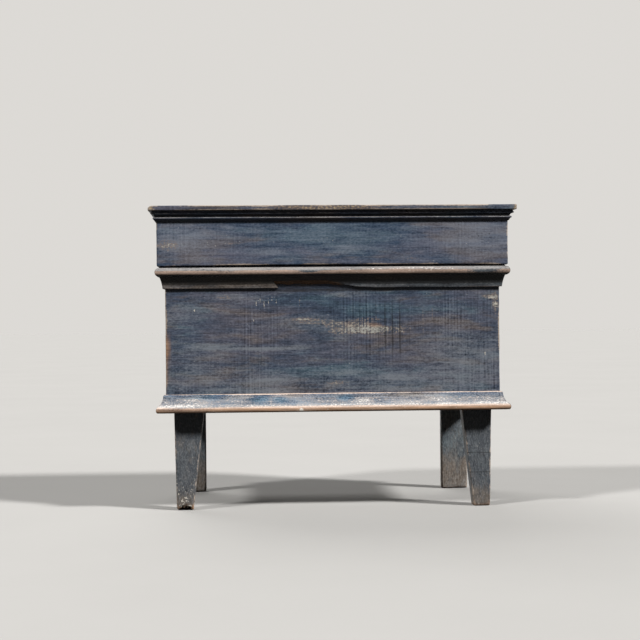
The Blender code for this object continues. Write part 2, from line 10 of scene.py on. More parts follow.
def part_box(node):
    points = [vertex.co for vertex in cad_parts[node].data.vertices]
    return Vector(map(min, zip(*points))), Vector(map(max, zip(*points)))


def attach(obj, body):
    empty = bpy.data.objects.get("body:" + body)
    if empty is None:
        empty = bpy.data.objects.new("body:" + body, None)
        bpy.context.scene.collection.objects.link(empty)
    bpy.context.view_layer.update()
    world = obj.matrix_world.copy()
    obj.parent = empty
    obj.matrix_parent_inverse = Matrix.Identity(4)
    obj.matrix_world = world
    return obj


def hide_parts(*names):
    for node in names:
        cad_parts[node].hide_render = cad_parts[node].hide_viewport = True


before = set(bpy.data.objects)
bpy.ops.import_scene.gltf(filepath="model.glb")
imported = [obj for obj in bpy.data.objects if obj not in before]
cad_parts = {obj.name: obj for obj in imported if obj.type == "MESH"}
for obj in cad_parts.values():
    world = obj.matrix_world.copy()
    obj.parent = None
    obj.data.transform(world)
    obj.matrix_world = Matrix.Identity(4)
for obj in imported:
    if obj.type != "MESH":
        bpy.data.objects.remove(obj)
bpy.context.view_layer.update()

# Camera, fitted to the edges of the chest
CAMERA_PLACE = Vector((-0.259, -4.027, 0.481))
CAMERA_YAW = math.radians(-3.38)
CAMERA_ROLL = math.radians(-0.502)
CAMERA_FOCAL_SHARE = 1500 / 640  # focal length as a share of the picture's width
SENSOR_WIDTH = 36.0

# Studio
KEY_ANGLE = math.radians(8)
REAR_ANGLE = math.radians(50)
LAMPS = (  # name, direction from the chest, strength and width of the lamp as an angle
    ("key_right", Vector((1.6, -1.0, 1.5)), 4.3, KEY_ANGLE),
    ("key_left", Vector((-1.4, -1.0, 1.5)), 2.2, KEY_ANGLE),
    ("rear_fill", Vector((-0.3, 0.9, 0.8)), 2.0, REAR_ANGLE),
)
WORLD_STRENGTH = 0.023
FLOOR_RADIUS = 60.0
FLOOR_SIDES = 96
FLOOR_COLOUR = (0.411, 0.400, 0.382)
FLOOR_BOUNCE = (0.022, 0.020, 0.018)
FLOOR_ROUGHNESS = 0.9
BACKGROUND = (0.72, 0.70, 0.67)

# Fineness of the worn copies, in metres
MERGE = 0.00001
BOARD_CELL = 0.008
THICKNESS_CELL = 0.0035
LEG_CELL = 0.004
RUN_CELL = 0.007
PROFILE_CELL = 0.0025
BREAK_CELL = 0.0025
RAGGED_CELL = 0.002
EDGE_CUTS = (0.002, 0.0045, 0.008)
LEAST_CELL = 0.0012
MARK_CUTS = (-1.2, 0.0, 1.2)  # cuts through a scratch or chip, as shares of its half size

# Turns between two faces, in radians, and how far a face has to look one way
FLAT_TURN = 0.01
ARRIS_TURN = 0.6
SMOOTH_TURN = math.radians(50)
FACING = 0.5
FRONT_TURN = (0.3, 0.8)  # where marks on a front start to show and show in full

# Wear of the shapes, in metres
ARRIS_REACH = 0.006
ARRIS_LOSS = 0.0011
RUB_MEAN = 0.55  # share of the loss on an arris, and the most
RUB_MOST = 1.8
WAVE_DEPTH = 0.0004
WAVE_LENGTH = 0.12
DENT_DEPTH = 0.0012
DENT_LENGTH = 0.022
DENT_LEVEL = 0.62  # noise below this leaves no dent
TOP_EDGE_WEAR = 0.35  # share of the loss on the edges of the top
MOULDING_WEAR = 0.5  # and on those of the mouldings
LEG_WEAR = 0.6  # and on those of the legs
FOOT_HEIGHT = 0.030
FOOT_LOSS = 3.0
EDGE_FADE = 0.003
HOLLOW_FADE = 0.006

# The broken lower edge of the front rim moulding
BREAK_SPAN = (-0.156, 0.066)
BREAK_TOP = 0.019  # above the lower edge of the moulding
BREAK_LIP = 0.001  # left of that edge under the break
BREAK_BIN = 0.006  # length of a stretch over which its height is found
RAW_DOWN = -0.35  # how far its raw face looks down
RAW_LEVEL = 0.9  # and to the front or back at most
TORN_EDGE = 0.0035  # paint torn away above it
TORN_FADE = TORN_EDGE / 2
TORN_START = (-0.130, -0.095)
TORN_END = (-0.010, 0.030)
TAPER_PLACES = (-0.015, 0.018, 0.105)  # where its right end starts to rise, is highest and runs out
TAPER_RISE = 0.0048
TAPER_REACH = 0.016  # height over which the rise fades
SPLINTER_DEPTH = 0.003
SPLINTER_DROP = 0.0075  # how far the raw face slopes down towards the case
LIFT_MEAN = 0.25  # shares of these two, before the fibres
DROP_MEAN = 0.8
BACK_STRIP = 0.002  # of the raw face, along the case

# The lid's front rail has worn hollow along its lower edge, and the top's left end is rounded
BOW_RISE = 0.0024
BOW_WAVE = 0.0008
BOW_REACH = 0.03
END_LENGTH = 0.010
END_LOSS = 0.80
END_DEPTHS = (0.02, 0.09)  # from the front, where the rounding starts to fade and ends

# The splintered front left foot
RAGGED_HEIGHT = 0.022
RAGGED_LOSS = 0.016
RAGGED_DEPTHS = (0.0084, 0.028)  # from the front, where it starts to fade and ends
RAGGED_MIDDLE = (0.55, 0.95)  # the same from its middle, as shares of half its width
BITE_MEAN = 0.45
BITE_GRIME = 1.3

# Paint of the legs: heights are in metres above the floor
LEG_FLAKES = (0.060, 0.25)  # height of the flaked paint, and how much of it
RAGGED_FLAKES = (0.10, 0.7)
FLAKE_LEVEL = 0.1  # noise below this leaves no flake
FLAKE_FADE = 1.5  # height up to which the edges flake, times that of the rest
EDGE_FLAKES = 0.7
LEG_RAW = 0.4  # raw wood at the corners of the feet
RAGGED_RAW = 0.9
RAW_EDGE = (0.15, 0.6)  # edge values where it starts and is full
RAW_SPAN = (0.003, 0.020)
FLOOR_DUST_SPAN = (0.003, 0.010)
LEG_SCRATCHES = (0.137, 0.087)  # heights of the scratches across the front right leg
SCRATCH_HEIGHT = 0.0013
SCRATCH_DARK = 0.8
BLUE_RISE = 2.0  # from brown paint below to blue above
BROWN_MOST = 1.3
LEG_DUST = 0.08
LOW_DUST = 0.3
LEG_WORN = 0.6
LEG_CHIP = 0.07
LEG_EDGE = 0.65

# Paint of the boards
EDGE_MEAN = 0.75  # share of the edge value along an arris, and its range
EDGE_RANGE = (0.15, 1.3)
BOARD_WEAR = 0.7
BOARD_WEAR_LEVEL = 0.15  # noise below this leaves no wear
SPOT_STEEPNESS = 1.5  # how sharply a spot of paint ends

# Noise in the shapes and the values of the paint: how far it swings, length of a feature in
# metres, shift of its pattern, and factors on x, y and z, which draw it out where they are low
EVEN = (1.0, 1.0, 1.0)
SWINGS = {
    "arris_long": (0.8, 0.055, 0.0, EVEN),
    "arris_short": (0.6, 0.013, 4.0, EVEN),
    "wave": (0.5, WAVE_LENGTH, 9.0, EVEN),
    "dent": (1.0, DENT_LENGTH, 15.0, EVEN),
    "edge_paint": (0.9, 0.05, 4.0, EVEN),
    "unseen_wear": (0.6, 0.03, 0.0, (0.25, 0.6, 1.0)),
    "board_wear": (1.0, 0.016, 0.0, (0.2, 0.2, 1.0)),
    "board_tone": (1.2, 0.05, 6.0, (0.35, 0.35, 1.0)),
    "rail_edge": (1.0, 0.05, 2.0, (1.0, 0.0, 0.0)),
    "run_wear": (0.3, 0.07, 3.0, EVEN),
    "run_tone": (0.8, 0.12, 5.0, EVEN),
    "fibres": (0.5, 0.004, 2.0, (0.12, 1.0, 1.0)),
    "flakes": (1.6, 0.005, 7.0, EVEN),
    "raw_edge": (0.6, 0.007, 12.0, EVEN),
    "leg_dust": (0.3, 0.02, 2.0, EVEN),
    "leg_tone": (0.7, 0.08, 8.0, EVEN),
    "leg_edge": (0.8, 0.02, 4.0, EVEN),
    "bites": (0.9, 0.006, 21.0, (1.0, 0.5, 0.3)),
}

# Paint rubbed to a pale beige on the front of the case: middle x and z, half length, half height, amount
CASE_WEAR = (
    (-0.085, 0.484, 0.040, 0.006, 0.56),
    (-0.040, 0.476, 0.050, 0.009, 0.66),
    (0.020, 0.466, 0.045, 0.011, 0.82),
    (0.084, 0.459, 0.050, 0.013, 1.10),
    (0.085, 0.480, 0.045, 0.008, 0.50),
    (0.120, 0.452, 0.040, 0.007, 0.90),
    (0.010, 0.448, 0.050, 0.006, 0.60),
    (0.172, 0.456, 0.030, 0.012, 0.70),
    (0.005, 0.321, 0.040, 0.006, 0.70),
    (0.100, 0.318, 0.050, 0.004, 0.55),
    (-0.270, 0.541, 0.030, 0.006, 0.60),
    (0.396, 0.538, 0.018, 0.007, 0.70),
    (0.415, 0.522, 0.009, 0.030, 0.95),
)

# Brown bare wood there, in the same form
CASE_BARE = (
    (-0.423, 0.415, 0.007, 0.030, 0.70),
    (-0.424, 0.360, 0.005, 0.045, 0.40),
    (0.040, 0.470, 0.014, 0.004, 0.45),
    (0.105, 0.468, 0.018, 0.004, 0.45),
)

# Pale blue film there
CASE_DUST = (
    (-0.300, 0.414, 0.080, 0.006, 1.50),
    (-0.180, 0.409, 0.070, 0.006, 1.50),
    (-0.090, 0.412, 0.040, 0.007, 0.90),
    (-0.030, 0.470, 0.130, 0.020, 0.50),
    (0.160, 0.335, 0.060, 0.008, 0.90),
    (0.030, 0.345, 0.060, 0.006, 0.60),
    (-0.165, 0.327, 0.050, 0.007, 0.80),
    (0.040, 0.545, 0.070, 0.008, 0.60),
    (-0.380, 0.500, 0.060, 0.030, 0.70),
    (-0.250, 0.540, 0.080, 0.012, 0.50),
    (0.290, 0.500, 0.030, 0.040, 0.25),
    (0.000, 0.325, 0.460, 0.045, 0.52),
    (-0.370, 0.370, 0.090, 0.070, 0.45),
    (0.340, 0.380, 0.120, 0.070, 0.75),
    (-0.200, 0.303, 0.110, 0.008, 0.70),
    (0.190, 0.303, 0.100, 0.006, 0.50),
)

# Richer blue there (above 0), and greyer, browner paint (below 0)
CASE_TONE = (
    (0.095, 0.508, 0.115, 0.026, 1.00),
    (-0.010, 0.350, 0.160, 0.020, 0.90),
    (-0.080, 0.530, 0.100, 0.016, 0.70),
    (-0.370, 0.440, 0.055, 0.080, 0.40),
    (0.230, 0.350, 0.080, 0.015, 0.55),
    (-0.200, 0.484, 0.110, 0.026, -0.50),
    (-0.160, 0.442, 0.100, 0.020, -0.60),
    (-0.240, 0.330, 0.150, 0.022, -0.60),
    (0.270, 0.430, 0.120, 0.080, -0.45),
    (0.290, 0.515, 0.090, 0.020, 0.50),
    (0.080, 0.430, 0.100, 0.015, -0.40),
)

# Where marks of the saw stay clear there
CASE_SAWN = (
    (-0.205, 0.420, 0.050, 0.300, 0.80),
    (0.095, 0.450, 0.085, 0.120, 1.00),
    (0.345, 0.420, 0.080, 0.300, 0.70),
)

# Scratches across the grain there: x, middle z, half width, half height, how pale, or how dark below 0
CASE_SCRATCHES = (
    (0.229, 0.470, 0.0020, 0.050, 0.60),
    (0.253, 0.492, 0.0018, 0.028, 0.55),
    (0.109, 0.500, 0.0016, 0.036, 0.45),
    (0.049, 0.512, 0.0016, 0.022, 0.45),
    (0.060, 0.450, 0.0026, 0.080, -0.45),
    (0.115, 0.430, 0.0026, 0.080, -0.50),
    (0.132, 0.455, 0.0032, 0.085, -0.75),
    (0.150, 0.445, 0.0036, 0.090, -0.65),
    (0.170, 0.452, 0.0034, 0.085, -0.80),
    (-0.086, 0.528, 0.0014, 0.012, 0.80),
)
# Painted shadow along the top of the case front, under the rim moulding
CASE_PAINTED_SHADOW = ((0.000, 0.558, 0.800, 0.007, -0.75),)  # under the rim moulding, as a dark scratch

# Flakes of paint gone down to the white ground: middle x and z, half width, half height, amount
CASE_CHIPS = (
    (-0.196, 0.526, 0.0014, 0.010, 0.42),
    (-0.186, 0.532, 0.0014, 0.008, 0.38),
    (-0.176, 0.522, 0.0014, 0.010, 0.44),
    (-0.165, 0.528, 0.0014, 0.012, 0.40),
    (-0.156, 0.536, 0.0014, 0.008, 0.38),
    (-0.145, 0.530, 0.0014, 0.010, 0.38),
    (-0.352, 0.507, 0.0018, 0.005, 0.55),
    (-0.203, 0.482, 0.0018, 0.004, 0.50),
    (0.388, 0.393, 0.0018, 0.006, 0.60),
    (0.405, 0.536, 0.0080, 0.004, 0.34),
    (0.417, 0.520, 0.0030, 0.006, 0.50),
)

# Spots along the front base moulding, by the value that they change, in the same form
BASE_SPOTS = {
    "edge": ((-0.210, 0.2945, 0.110, 0.004, 0.40), (0.200, 0.2945, 0.110, 0.004, -0.20)),
    "chip": ((-0.084, 0.2545, 0.0040, 0.0042, 1.00),),
    "dust": (
        (-0.258, 0.282, 0.034, 0.010, 0.50),
        (-0.335, 0.276, 0.040, 0.008, 0.35),
        (-0.060, 0.272, 0.030, 0.007, 0.35),
        (0.068, 0.274, 0.030, 0.008, 0.40),
        (0.275, 0.280, 0.030, 0.012, 0.40),
        (0.190, 0.272, 0.050, 0.006, 0.30),
        (-0.190, 0.281, 0.028, 0.008, -0.50),
        (-0.138, 0.282, 0.018, 0.007, -0.45),
        (0.030, 0.282, 0.024, 0.007, -0.45),
    ),
    "worn": (
        (-0.258, 0.284, 0.030, 0.008, 0.24),
        (0.068, 0.276, 0.030, 0.008, 0.20),
        (0.275, 0.280, 0.030, 0.010, 0.18),
        (-0.190, 0.281, 0.028, 0.008, -0.40),
        (-0.138, 0.282, 0.018, 0.007, -0.35),
        (-0.310, 0.285, 0.030, 0.006, -0.40),
        (0.030, 0.282, 0.024, 0.007, -0.35),
    ),
    "tone": (
        (-0.190, 0.280, 0.028, 0.010, 1.10),
        (-0.138, 0.281, 0.018, 0.008, 0.90),
        (-0.310, 0.284, 0.030, 0.008, 0.80),
        (0.030, 0.281, 0.024, 0.009, 1.10),
        (0.110, 0.283, 0.022, 0.008, 0.80),
        (-0.240, 0.288, 0.060, 0.005, -1.20),
        (-0.110, 0.289, 0.050, 0.005, -1.20),
        (0.160, 0.289, 0.060, 0.006, -1.00),
    ),
    "hollow": (
        (0.090, 0.290, 0.045, 0.005, 0.35),
        (0.200, 0.290, 0.040, 0.005, 0.38),
        (-0.084, 0.2555, 0.0055, 0.0065, -0.80),
    ),
}

# And along the front rim moulding
RIM_SPOTS = {
    "edge": (
        (-0.130, 0.604, 0.030, 0.006, 0.40),
        (-0.350, 0.604, 0.060, 0.006, 0.20),
        (0.080, 0.606, 0.030, 0.006, 0.35),
        (0.170, 0.605, 0.080, 0.007, 0.45),
        (-0.060, 0.607, 0.026, 0.005, -0.55),
        (0.385, 0.607, 0.035, 0.008, -0.45),
        (-0.270, 0.605, 0.030, 0.004, -0.45),
        (0.220, 0.569, 0.220, 0.008, -0.45),
    ),
    "tone": (
        (-0.130, 0.606, 0.040, 0.008, -1.30),
        (0.150, 0.606, 0.110, 0.008, -1.30),
        (-0.300, 0.610, 0.070, 0.006, 1.10),
        (-0.050, 0.607, 0.030, 0.006, 1.20),
        (0.390, 0.608, 0.050, 0.010, 1.30),
        (0.220, 0.571, 0.240, 0.012, 1.40),
        (-0.280, 0.571, 0.140, 0.012, -0.60),
    ),
    "hollow": (
        (0.220, 0.569, 0.240, 0.010, 0.44),
        (-0.290, 0.569, 0.150, 0.010, 0.30),
        (-0.060, 0.605, 0.024, 0.004, 0.30),
    ),
    "chip": ((0.112, 0.572, 0.0022, 0.0022, 0.50),),
    # The worn spots are painted highlights along the top of the bead
    "worn": ((0.240, 0.6095, 0.110, 0.0045, 1.15), (0.060, 0.6090, 0.070, 0.0040, 0.75)),
}

# The same kinds of spots on the lid's front rail
LID_WEAR = (
    (-0.418, 0.672, 0.030, 0.016, 0.70),
    (-0.255, 0.675, 0.022, 0.004, 0.60),
    (-0.100, 0.679, 0.110, 0.003, 0.65),
    (0.195, 0.634, 0.026, 0.004, 0.65),
    (-0.242, 0.630, 0.004, 0.006, 0.90),
)
LID_DUST = (
    (-0.265, 0.716, 0.022, 0.005, 0.60),
    (-0.195, 0.712, 0.025, 0.005, 0.60),
    (0.040, 0.662, 0.050, 0.010, 0.60),
    (-0.170, 0.655, 0.050, 0.008, 0.55),
    (0.000, 0.690, 0.520, 0.080, 0.42),
    (-0.380, 0.690, 0.080, 0.050, 0.60),
    (0.380, 0.690, 0.100, 0.060, 0.65),
)
LID_TONE = (
    (0.030, 0.690, 0.170, 0.045, 1.00),
    (-0.130, 0.700, 0.120, 0.030, 0.50),
    (-0.350, 0.660, 0.090, 0.050, -0.40),
    (0.330, 0.680, 0.120, 0.060, -0.55),
    (0.150, 0.655, 0.070, 0.015, -0.45),
)
LID_SAWN = ((-0.400, 0.690, 0.060, 0.100, 0.90), (0.355, 0.690, 0.080, 0.100, 0.90))
LID_PITS = (  # dark pits, as scratches
    (0.366, 0.696, 0.0016, 0.0018, -0.90),
    (0.371, 0.691, 0.0016, 0.0018, -0.90),
    (0.398, 0.697, 0.0020, 0.0020, -1.00),
    (0.399, 0.688, 0.0016, 0.0018, -0.80),
    (0.334, 0.673, 0.0016, 0.0018, -0.80),
    (0.350, 0.670, 0.0018, 0.0016, -0.70),
    (0.371, 0.656, 0.0018, 0.0016, -0.80),
    (0.386, 0.656, 0.0016, 0.0018, -0.70),
    (0.406, 0.666, 0.0022, 0.0014, -0.80),
)

# And on the front edge of the top
TOP_WEAR = ((-0.010, 0.766, 0.190, 0.030, 0.75), (-0.462, 0.766, 0.012, 0.030, 1.20),
            (0.464, 0.766, 0.008, 0.030, 1.10))
TOP_DUST = ((0.300, 0.766, 0.200, 0.030, 0.45),)
TOP_TONE = ((-0.020, 0.766, 0.170, 0.030, -1.00), (-0.360, 0.766, 0.140, 0.030, -0.80))
TOP_GRIME = ((-0.330, 0.766, 0.130, 0.030, -0.40),)  # as a dark scratch

# Paint values on the mouldings: which value, from and to how far above the lower edge, amount
PROFILE_BANDS = {
    "base_moulding": (
        ("bare", -0.004, 0.0115, 0.72),
        # Painted shade on the lower half of the nosing, which faces down
        ("hollow", -0.004, 0.0070, 0.46),
        ("edge", -0.004, 0.0160, 0.90),
        # Pale wear on the up-facing hollow, made paler still as a painted highlight where light falls on it
        ("dust", 0.012, 0.022, 0.70),
        ("dust", 0.018, 0.042, 0.38),
        ("worn", 0.012, 0.0205, 0.88),
        ("worn", 0.018, 0.036, 0.54),
        ("edge", 0.0445, 0.050, 0.85),
    ),
    "rim_moulding": (
        # Painted shadow of the bead on the slope below it
        ("hollow", 0.010, 0.0350, 1.00),
        ("edge", 0.0335, 0.0450, 0.95),
        # Painted highlight: the top of the bead paler where light falls on it
        ("dust", 0.0430, 0.060, 1.10),
        ("edge", -0.004, 0.0016, 0.62),
    ),
    "lid_moulding": (
        # Painted shade on the foot under the lower bead
        ("hollow", -0.004, 0.005, 0.60),
        # Painted highlight on the lower bead, over its worn edge
        ("edge", 0.0085, 0.0125, 0.74),
        # Painted shade, with some dirt, in the hollow between the beads
        ("hollow", 0.0135, 0.017, 0.90),
        ("edge", 0.0190, 0.0225, 0.55),
        # Painted shadow of the top's overhang on the fascia
        ("hollow", 0.0235, 0.032, 0.80),
    ),
}
BAND_SOFTNESS = 0.002
END_WEAR = 0.4  # more wear towards the ends of the front base moulding
END_WEAR_SPAN = (0.22, 0.46)

# Colours
BOARD_COLOURS = {
    "navy": (0.046, 0.063, 0.095),
    "plum": (0.083, 0.084, 0.108),
    "teal": (0.051, 0.085, 0.112),
    "umber": (0.110, 0.091, 0.084),
    "haze": (0.205, 0.222, 0.244),
}
LID_COLOURS = {
    "navy": (0.038, 0.061, 0.100),
    "plum": (0.080, 0.086, 0.120),
    "teal": (0.049, 0.084, 0.118),
    "umber": (0.108, 0.093, 0.096),
    "haze": (0.210, 0.230, 0.270),
}
# Paler than the boards' colours: worn pale paint, and partly a painted highlight on this up-facing moulding
BASE_COLOURS = {
    "navy": (0.060, 0.095, 0.150),
    "plum": (0.150, 0.160, 0.190),
    "teal": (0.100, 0.160, 0.215),
    "umber": (0.240, 0.200, 0.170),
    "haze": (0.460, 0.485, 0.510),
    "chip": (0.840, 0.780, 0.690),
}
RIM_COLOURS = {
    "navy": (0.060, 0.062, 0.070),
    "plum": (0.120, 0.110, 0.105),
    "teal": (0.075, 0.085, 0.095),
    "umber": (0.140, 0.112, 0.092),
    "haze": (0.380, 0.358, 0.340),
    "bare": (0.600, 0.350, 0.200),
}
LEG_COLOURS = {
    "navy": (0.073, 0.080, 0.090),
    "plum": (0.106, 0.104, 0.105),
    "teal": (0.085, 0.095, 0.104),
    "umber": (0.136, 0.110, 0.088),
    "haze": (0.218, 0.216, 0.212),
}
# Paler than the front legs' colours: painted light, standing in for light that reaches the rear legs under
# the chest
REAR_LEG_COLOURS_WITH_PAINTED_LIGHT = {
    "navy": (0.140, 0.158, 0.172),
    "plum": (0.210, 0.196, 0.182),
    "teal": (0.158, 0.190, 0.204),
    "umber": (0.228, 0.184, 0.147),
    "haze": (0.345, 0.350, 0.345),
}
PALE = (0.335, 0.330, 0.298)
DUSTY = (0.640, 0.620, 0.590)
TOP_TAN = (0.370, 0.290, 0.175)
TAN = (0.330, 0.270, 0.222)
BEAD_TAN = (0.345, 0.250, 0.198)
# Worn edges of the lid moulding, also the colour of the painted highlight on its lower bead
BEAD_GREY = (0.250, 0.240, 0.232)
PINK_TAN = (0.560, 0.440, 0.365)
UNDERCOAT = (0.180, 0.115, 0.080)
# Near-black for dirt in creases, and for painted shade in the mouldings' coves and under the rim moulding
GRIME_AND_SHADE = (0.016, 0.015, 0.014)
CHIP = (0.520, 0.480, 0.410)
PINE = (0.300, 0.195, 0.105)
PINE_DARK = (0.190, 0.112, 0.058)
PINE_STAIN = (0.110, 0.075, 0.048)
BROKEN_WOOD = (0.350, 0.195, 0.105)
IRON = (0.050, 0.046, 0.042)
RUST = (0.120, 0.052, 0.022)

# Strength of the gloss, where 0.5 is that of new varnish, and depth of the relief in metres
PAINT_SHINE = 0.10
PAINT_RELIEF = 0.0005
WOOD_SHINE = 0.2
WOOD_RELIEF = 0.0006
IRON_SHINE = 0.5
IRON_RELIEF = 0.0004

SAW_PITCH = 0.0084  # metres from one mark of the saw to the next
SAW_UNEVENNESS = 2.5
PINE_STAINED = 0.6  # how far a stain hides the wood

# Recipes of the materials. Each noise has its kind, features a metre along the grain and across it,
# detail, roughness, distortion and the shift of its pattern. Each sum has the weight of every part
# in it, where base is 1 all over. Each ramp has its start, its end and the most that it gives.
PAINT_RECIPE = {
    "noise": {
        "drift": ("blotch", 5.0, 24.0, 4.0, 0.6, 0.6, 0.0),
        "hue": ("blotch", 8.0, 34.0, 4.0, 0.6, 0.8, 3.0),
        "stain": ("blotch", 5.0, 24.0, 4.0, 0.6, 0.6, 8.0),
        "smudges": ("blotch", 16.0, 75.0, 3.0, 0.5, 0.3, 0.0),
        "strokes": ("stroke", 9.0, 180.0, 5.0, 0.65, 0.0, 0.0),
        "brush": ("stroke", 26.0, 380.0, 3.0, 0.6, 0.0, 0.0),
        "flecks": ("grit", 150.0, 260.0, 3.0, 0.6, 0.0, 0.0),
        "specks": ("fixed", 420.0, 420.0, 1.0, 0.5, 0.0, 0.0),
        "saw_lines": ("fixed", 210.0, 4.0, 1.0, 0.5, 0.0, 0.0),
        "saw_fine": ("fixed", 430.0, 9.0, 1.0, 0.5, 0.0, 0.0),
        "saw_left": ("fixed", 6.0, 8.0, 3.0, 0.6, 0.0, 5.0),
    },
    "sums": {
        "saw_marks": {"saw_even": 0.22, "saw_lines": 0.9, "saw_fine": 1.0},
        "saw_depth": {"saw_clear": 0.6, "sawn": 0.8, "base": 0.15},
        "plum": {"drift": 1.4, "smudges": 0.6, "tone": -0.35},
        "teal": {"hue": 1.3, "smudges": 0.6, "tone": 0.25},
        "umber": {"stain": 1.4, "smudges": 0.6, "tone": -0.25},
        "light": {"base": 1.06, "drift": 0.65, "hue": 0.36, "smudges": 0.45, "strokes": 1.1, "brush": 1.5,
                  "flecks": 1.5, "kerfs": 1.1},
        "haze": {"smudges": 0.6, "strokes": 0.9, "hue": 0.5, "flecks": 1.0, "kerfs": 0.4, "dust": 0.55,
                 "worn": 0.35},
        "broken_up": {"base": 0.65, "smudges": 1.1, "strokes": 1.7, "flecks": 3.4, "kerfs": 1.5},
        "pale_tint": {"base": 1.0, "strokes": 1.2, "flecks": 1.2},
        "gone": {"edge": 1.0, "flecks": 0.7, "drift": 1.1, "strokes": 0.8},
        "edge_tint": {"base": 1.0, "flecks": 1.2, "strokes": 1.0, "smudges": 1.2},
        "bare_tint": {"base": 1.0, "strokes": 2.2, "brush": 1.6},
        "chips": {"specks": 1.0, "flecks": 0.6, "worn": 0.06, "edge": 0.05, "chip": 1.0},
        "grime_and_shade": {"hollow": 1.0, "stain": 0.8},
        "roughness": {"base": 0.46, "lost": 0.14, "strokes": 0.3, "drift": 0.2},
        "height": {"strokes": 0.9, "brush": 0.5, "kerfs": 0.7, "flecks": 0.4, "lost": -0.3},
    },
    "ramps": {
        "saw_clear": (-0.10, 0.16, 1.0),
        "plum": (-0.32, 0.30, 1.0),
        "teal": (-0.05, 0.42, 1.0),
        "umber": (-0.02, 0.36, 0.8),
        "haze": (-0.05, 0.85, 0.75),
        "undercoat": (0.25, 0.55, 0.6),
        "thin": (0.42, 0.95, 0.9),
        "gone": (0.40, 0.85, 1.0),
        "chips": (0.31, 0.37, 1.0),
        "grime_and_shade": (0.15, 0.90, 0.75),
    },
}
PINE_RECIPE = {
    "noise": {
        "rings": ("fixed", 1.2, 42.0, 4.0, 0.6, 0.9, 0.0),
        "grain": ("fixed", 20.0, 420.0, 3.0, 0.6, 0.0, 0.0),
        "clouds": ("fixed", 3.0, 8.0, 4.0, 0.6, 0.5, 0.0),
        "marks": ("fixed", 140.0, 9.0, 3.0, 0.6, 0.0, 0.0),
        "pores": ("fixed", 500.0, 500.0, 2.0, 0.5, 0.0, 0.0),
    },
    "sums": {
        "dark": {"rings": 1.5, "grain": 0.8},
        "stain": {"clouds": 1.2, "hollow": 0.35, "marks": 0.2},
        "light": {"base": 1.0, "grain": 0.9, "marks": 0.35, "pores": 0.5, "edge": 0.15},
        "roughness": {"base": 0.74, "grain": 0.3, "stain": 0.08},
        "height": {"grain": 0.8, "rings": 0.5, "marks": 0.5, "pores": 0.2},
    },
    "ramps": {"dark": (-0.30, 0.42, 1.0), "stain": (0.05, 0.35, 1.0)},
}
IRON_RECIPE = {
    "noise": {
        "patches": ("fixed", 70.0, 70.0, 4.0, 0.6, 0.5, 0.0),
        "pits": ("fixed", 520.0, 520.0, 3.0, 0.6, 0.0, 0.0),
    },
    "sums": {
        "rust": {"patches": 1.0, "pits": 0.5},
        "light": {"base": 1.0, "pits": 1.1, "patches": 0.5},
        "metal": {"base": 0.85, "rust": -0.75},
        "roughness": {"base": 0.45, "rust": 0.35, "pits": 0.3},
        "height": {"pits": 0.8, "patches": 0.5},
    },
    "ramps": {"rust": (-0.05, 0.22, 1.0)},
}
FLOOR_RECIPE = {
    "noise": {"mottle": ("fixed", 1.5, 1.5, 4.0, 0.6, 0.0, 0.0)},
    "sums": {"light": {"base": 1.0, "mottle": 0.08}},
}

AXES = {"x": 0, "y": 1, "z": 2}
PAINT_VALUES = ("edge", "hollow", "worn", "dust", "tone", "bare", "chip", "sawn")
SHIFT_WAYS = (1.0, 2.3, -1.7)  # how a shift moves a noise along each axis
MIX_INPUTS = (0, 6, 7)  # share, first and second colour on a mix node set to colours
MIX_RESULT = 2
WAVE_RATE = 20.0  # turn of a wave texture over a metre at a scale of 1, in radians
RIDGE_DETAIL = 2.0
RIDGE_DETAIL_SCALE = 0.4


def along(axis, length_wise, cross_wise):
    """Features a metre along the grain and across it."""
    scale = [cross_wise] * 3
    scale[AXES[axis]] = length_wise
    return tuple(scale)


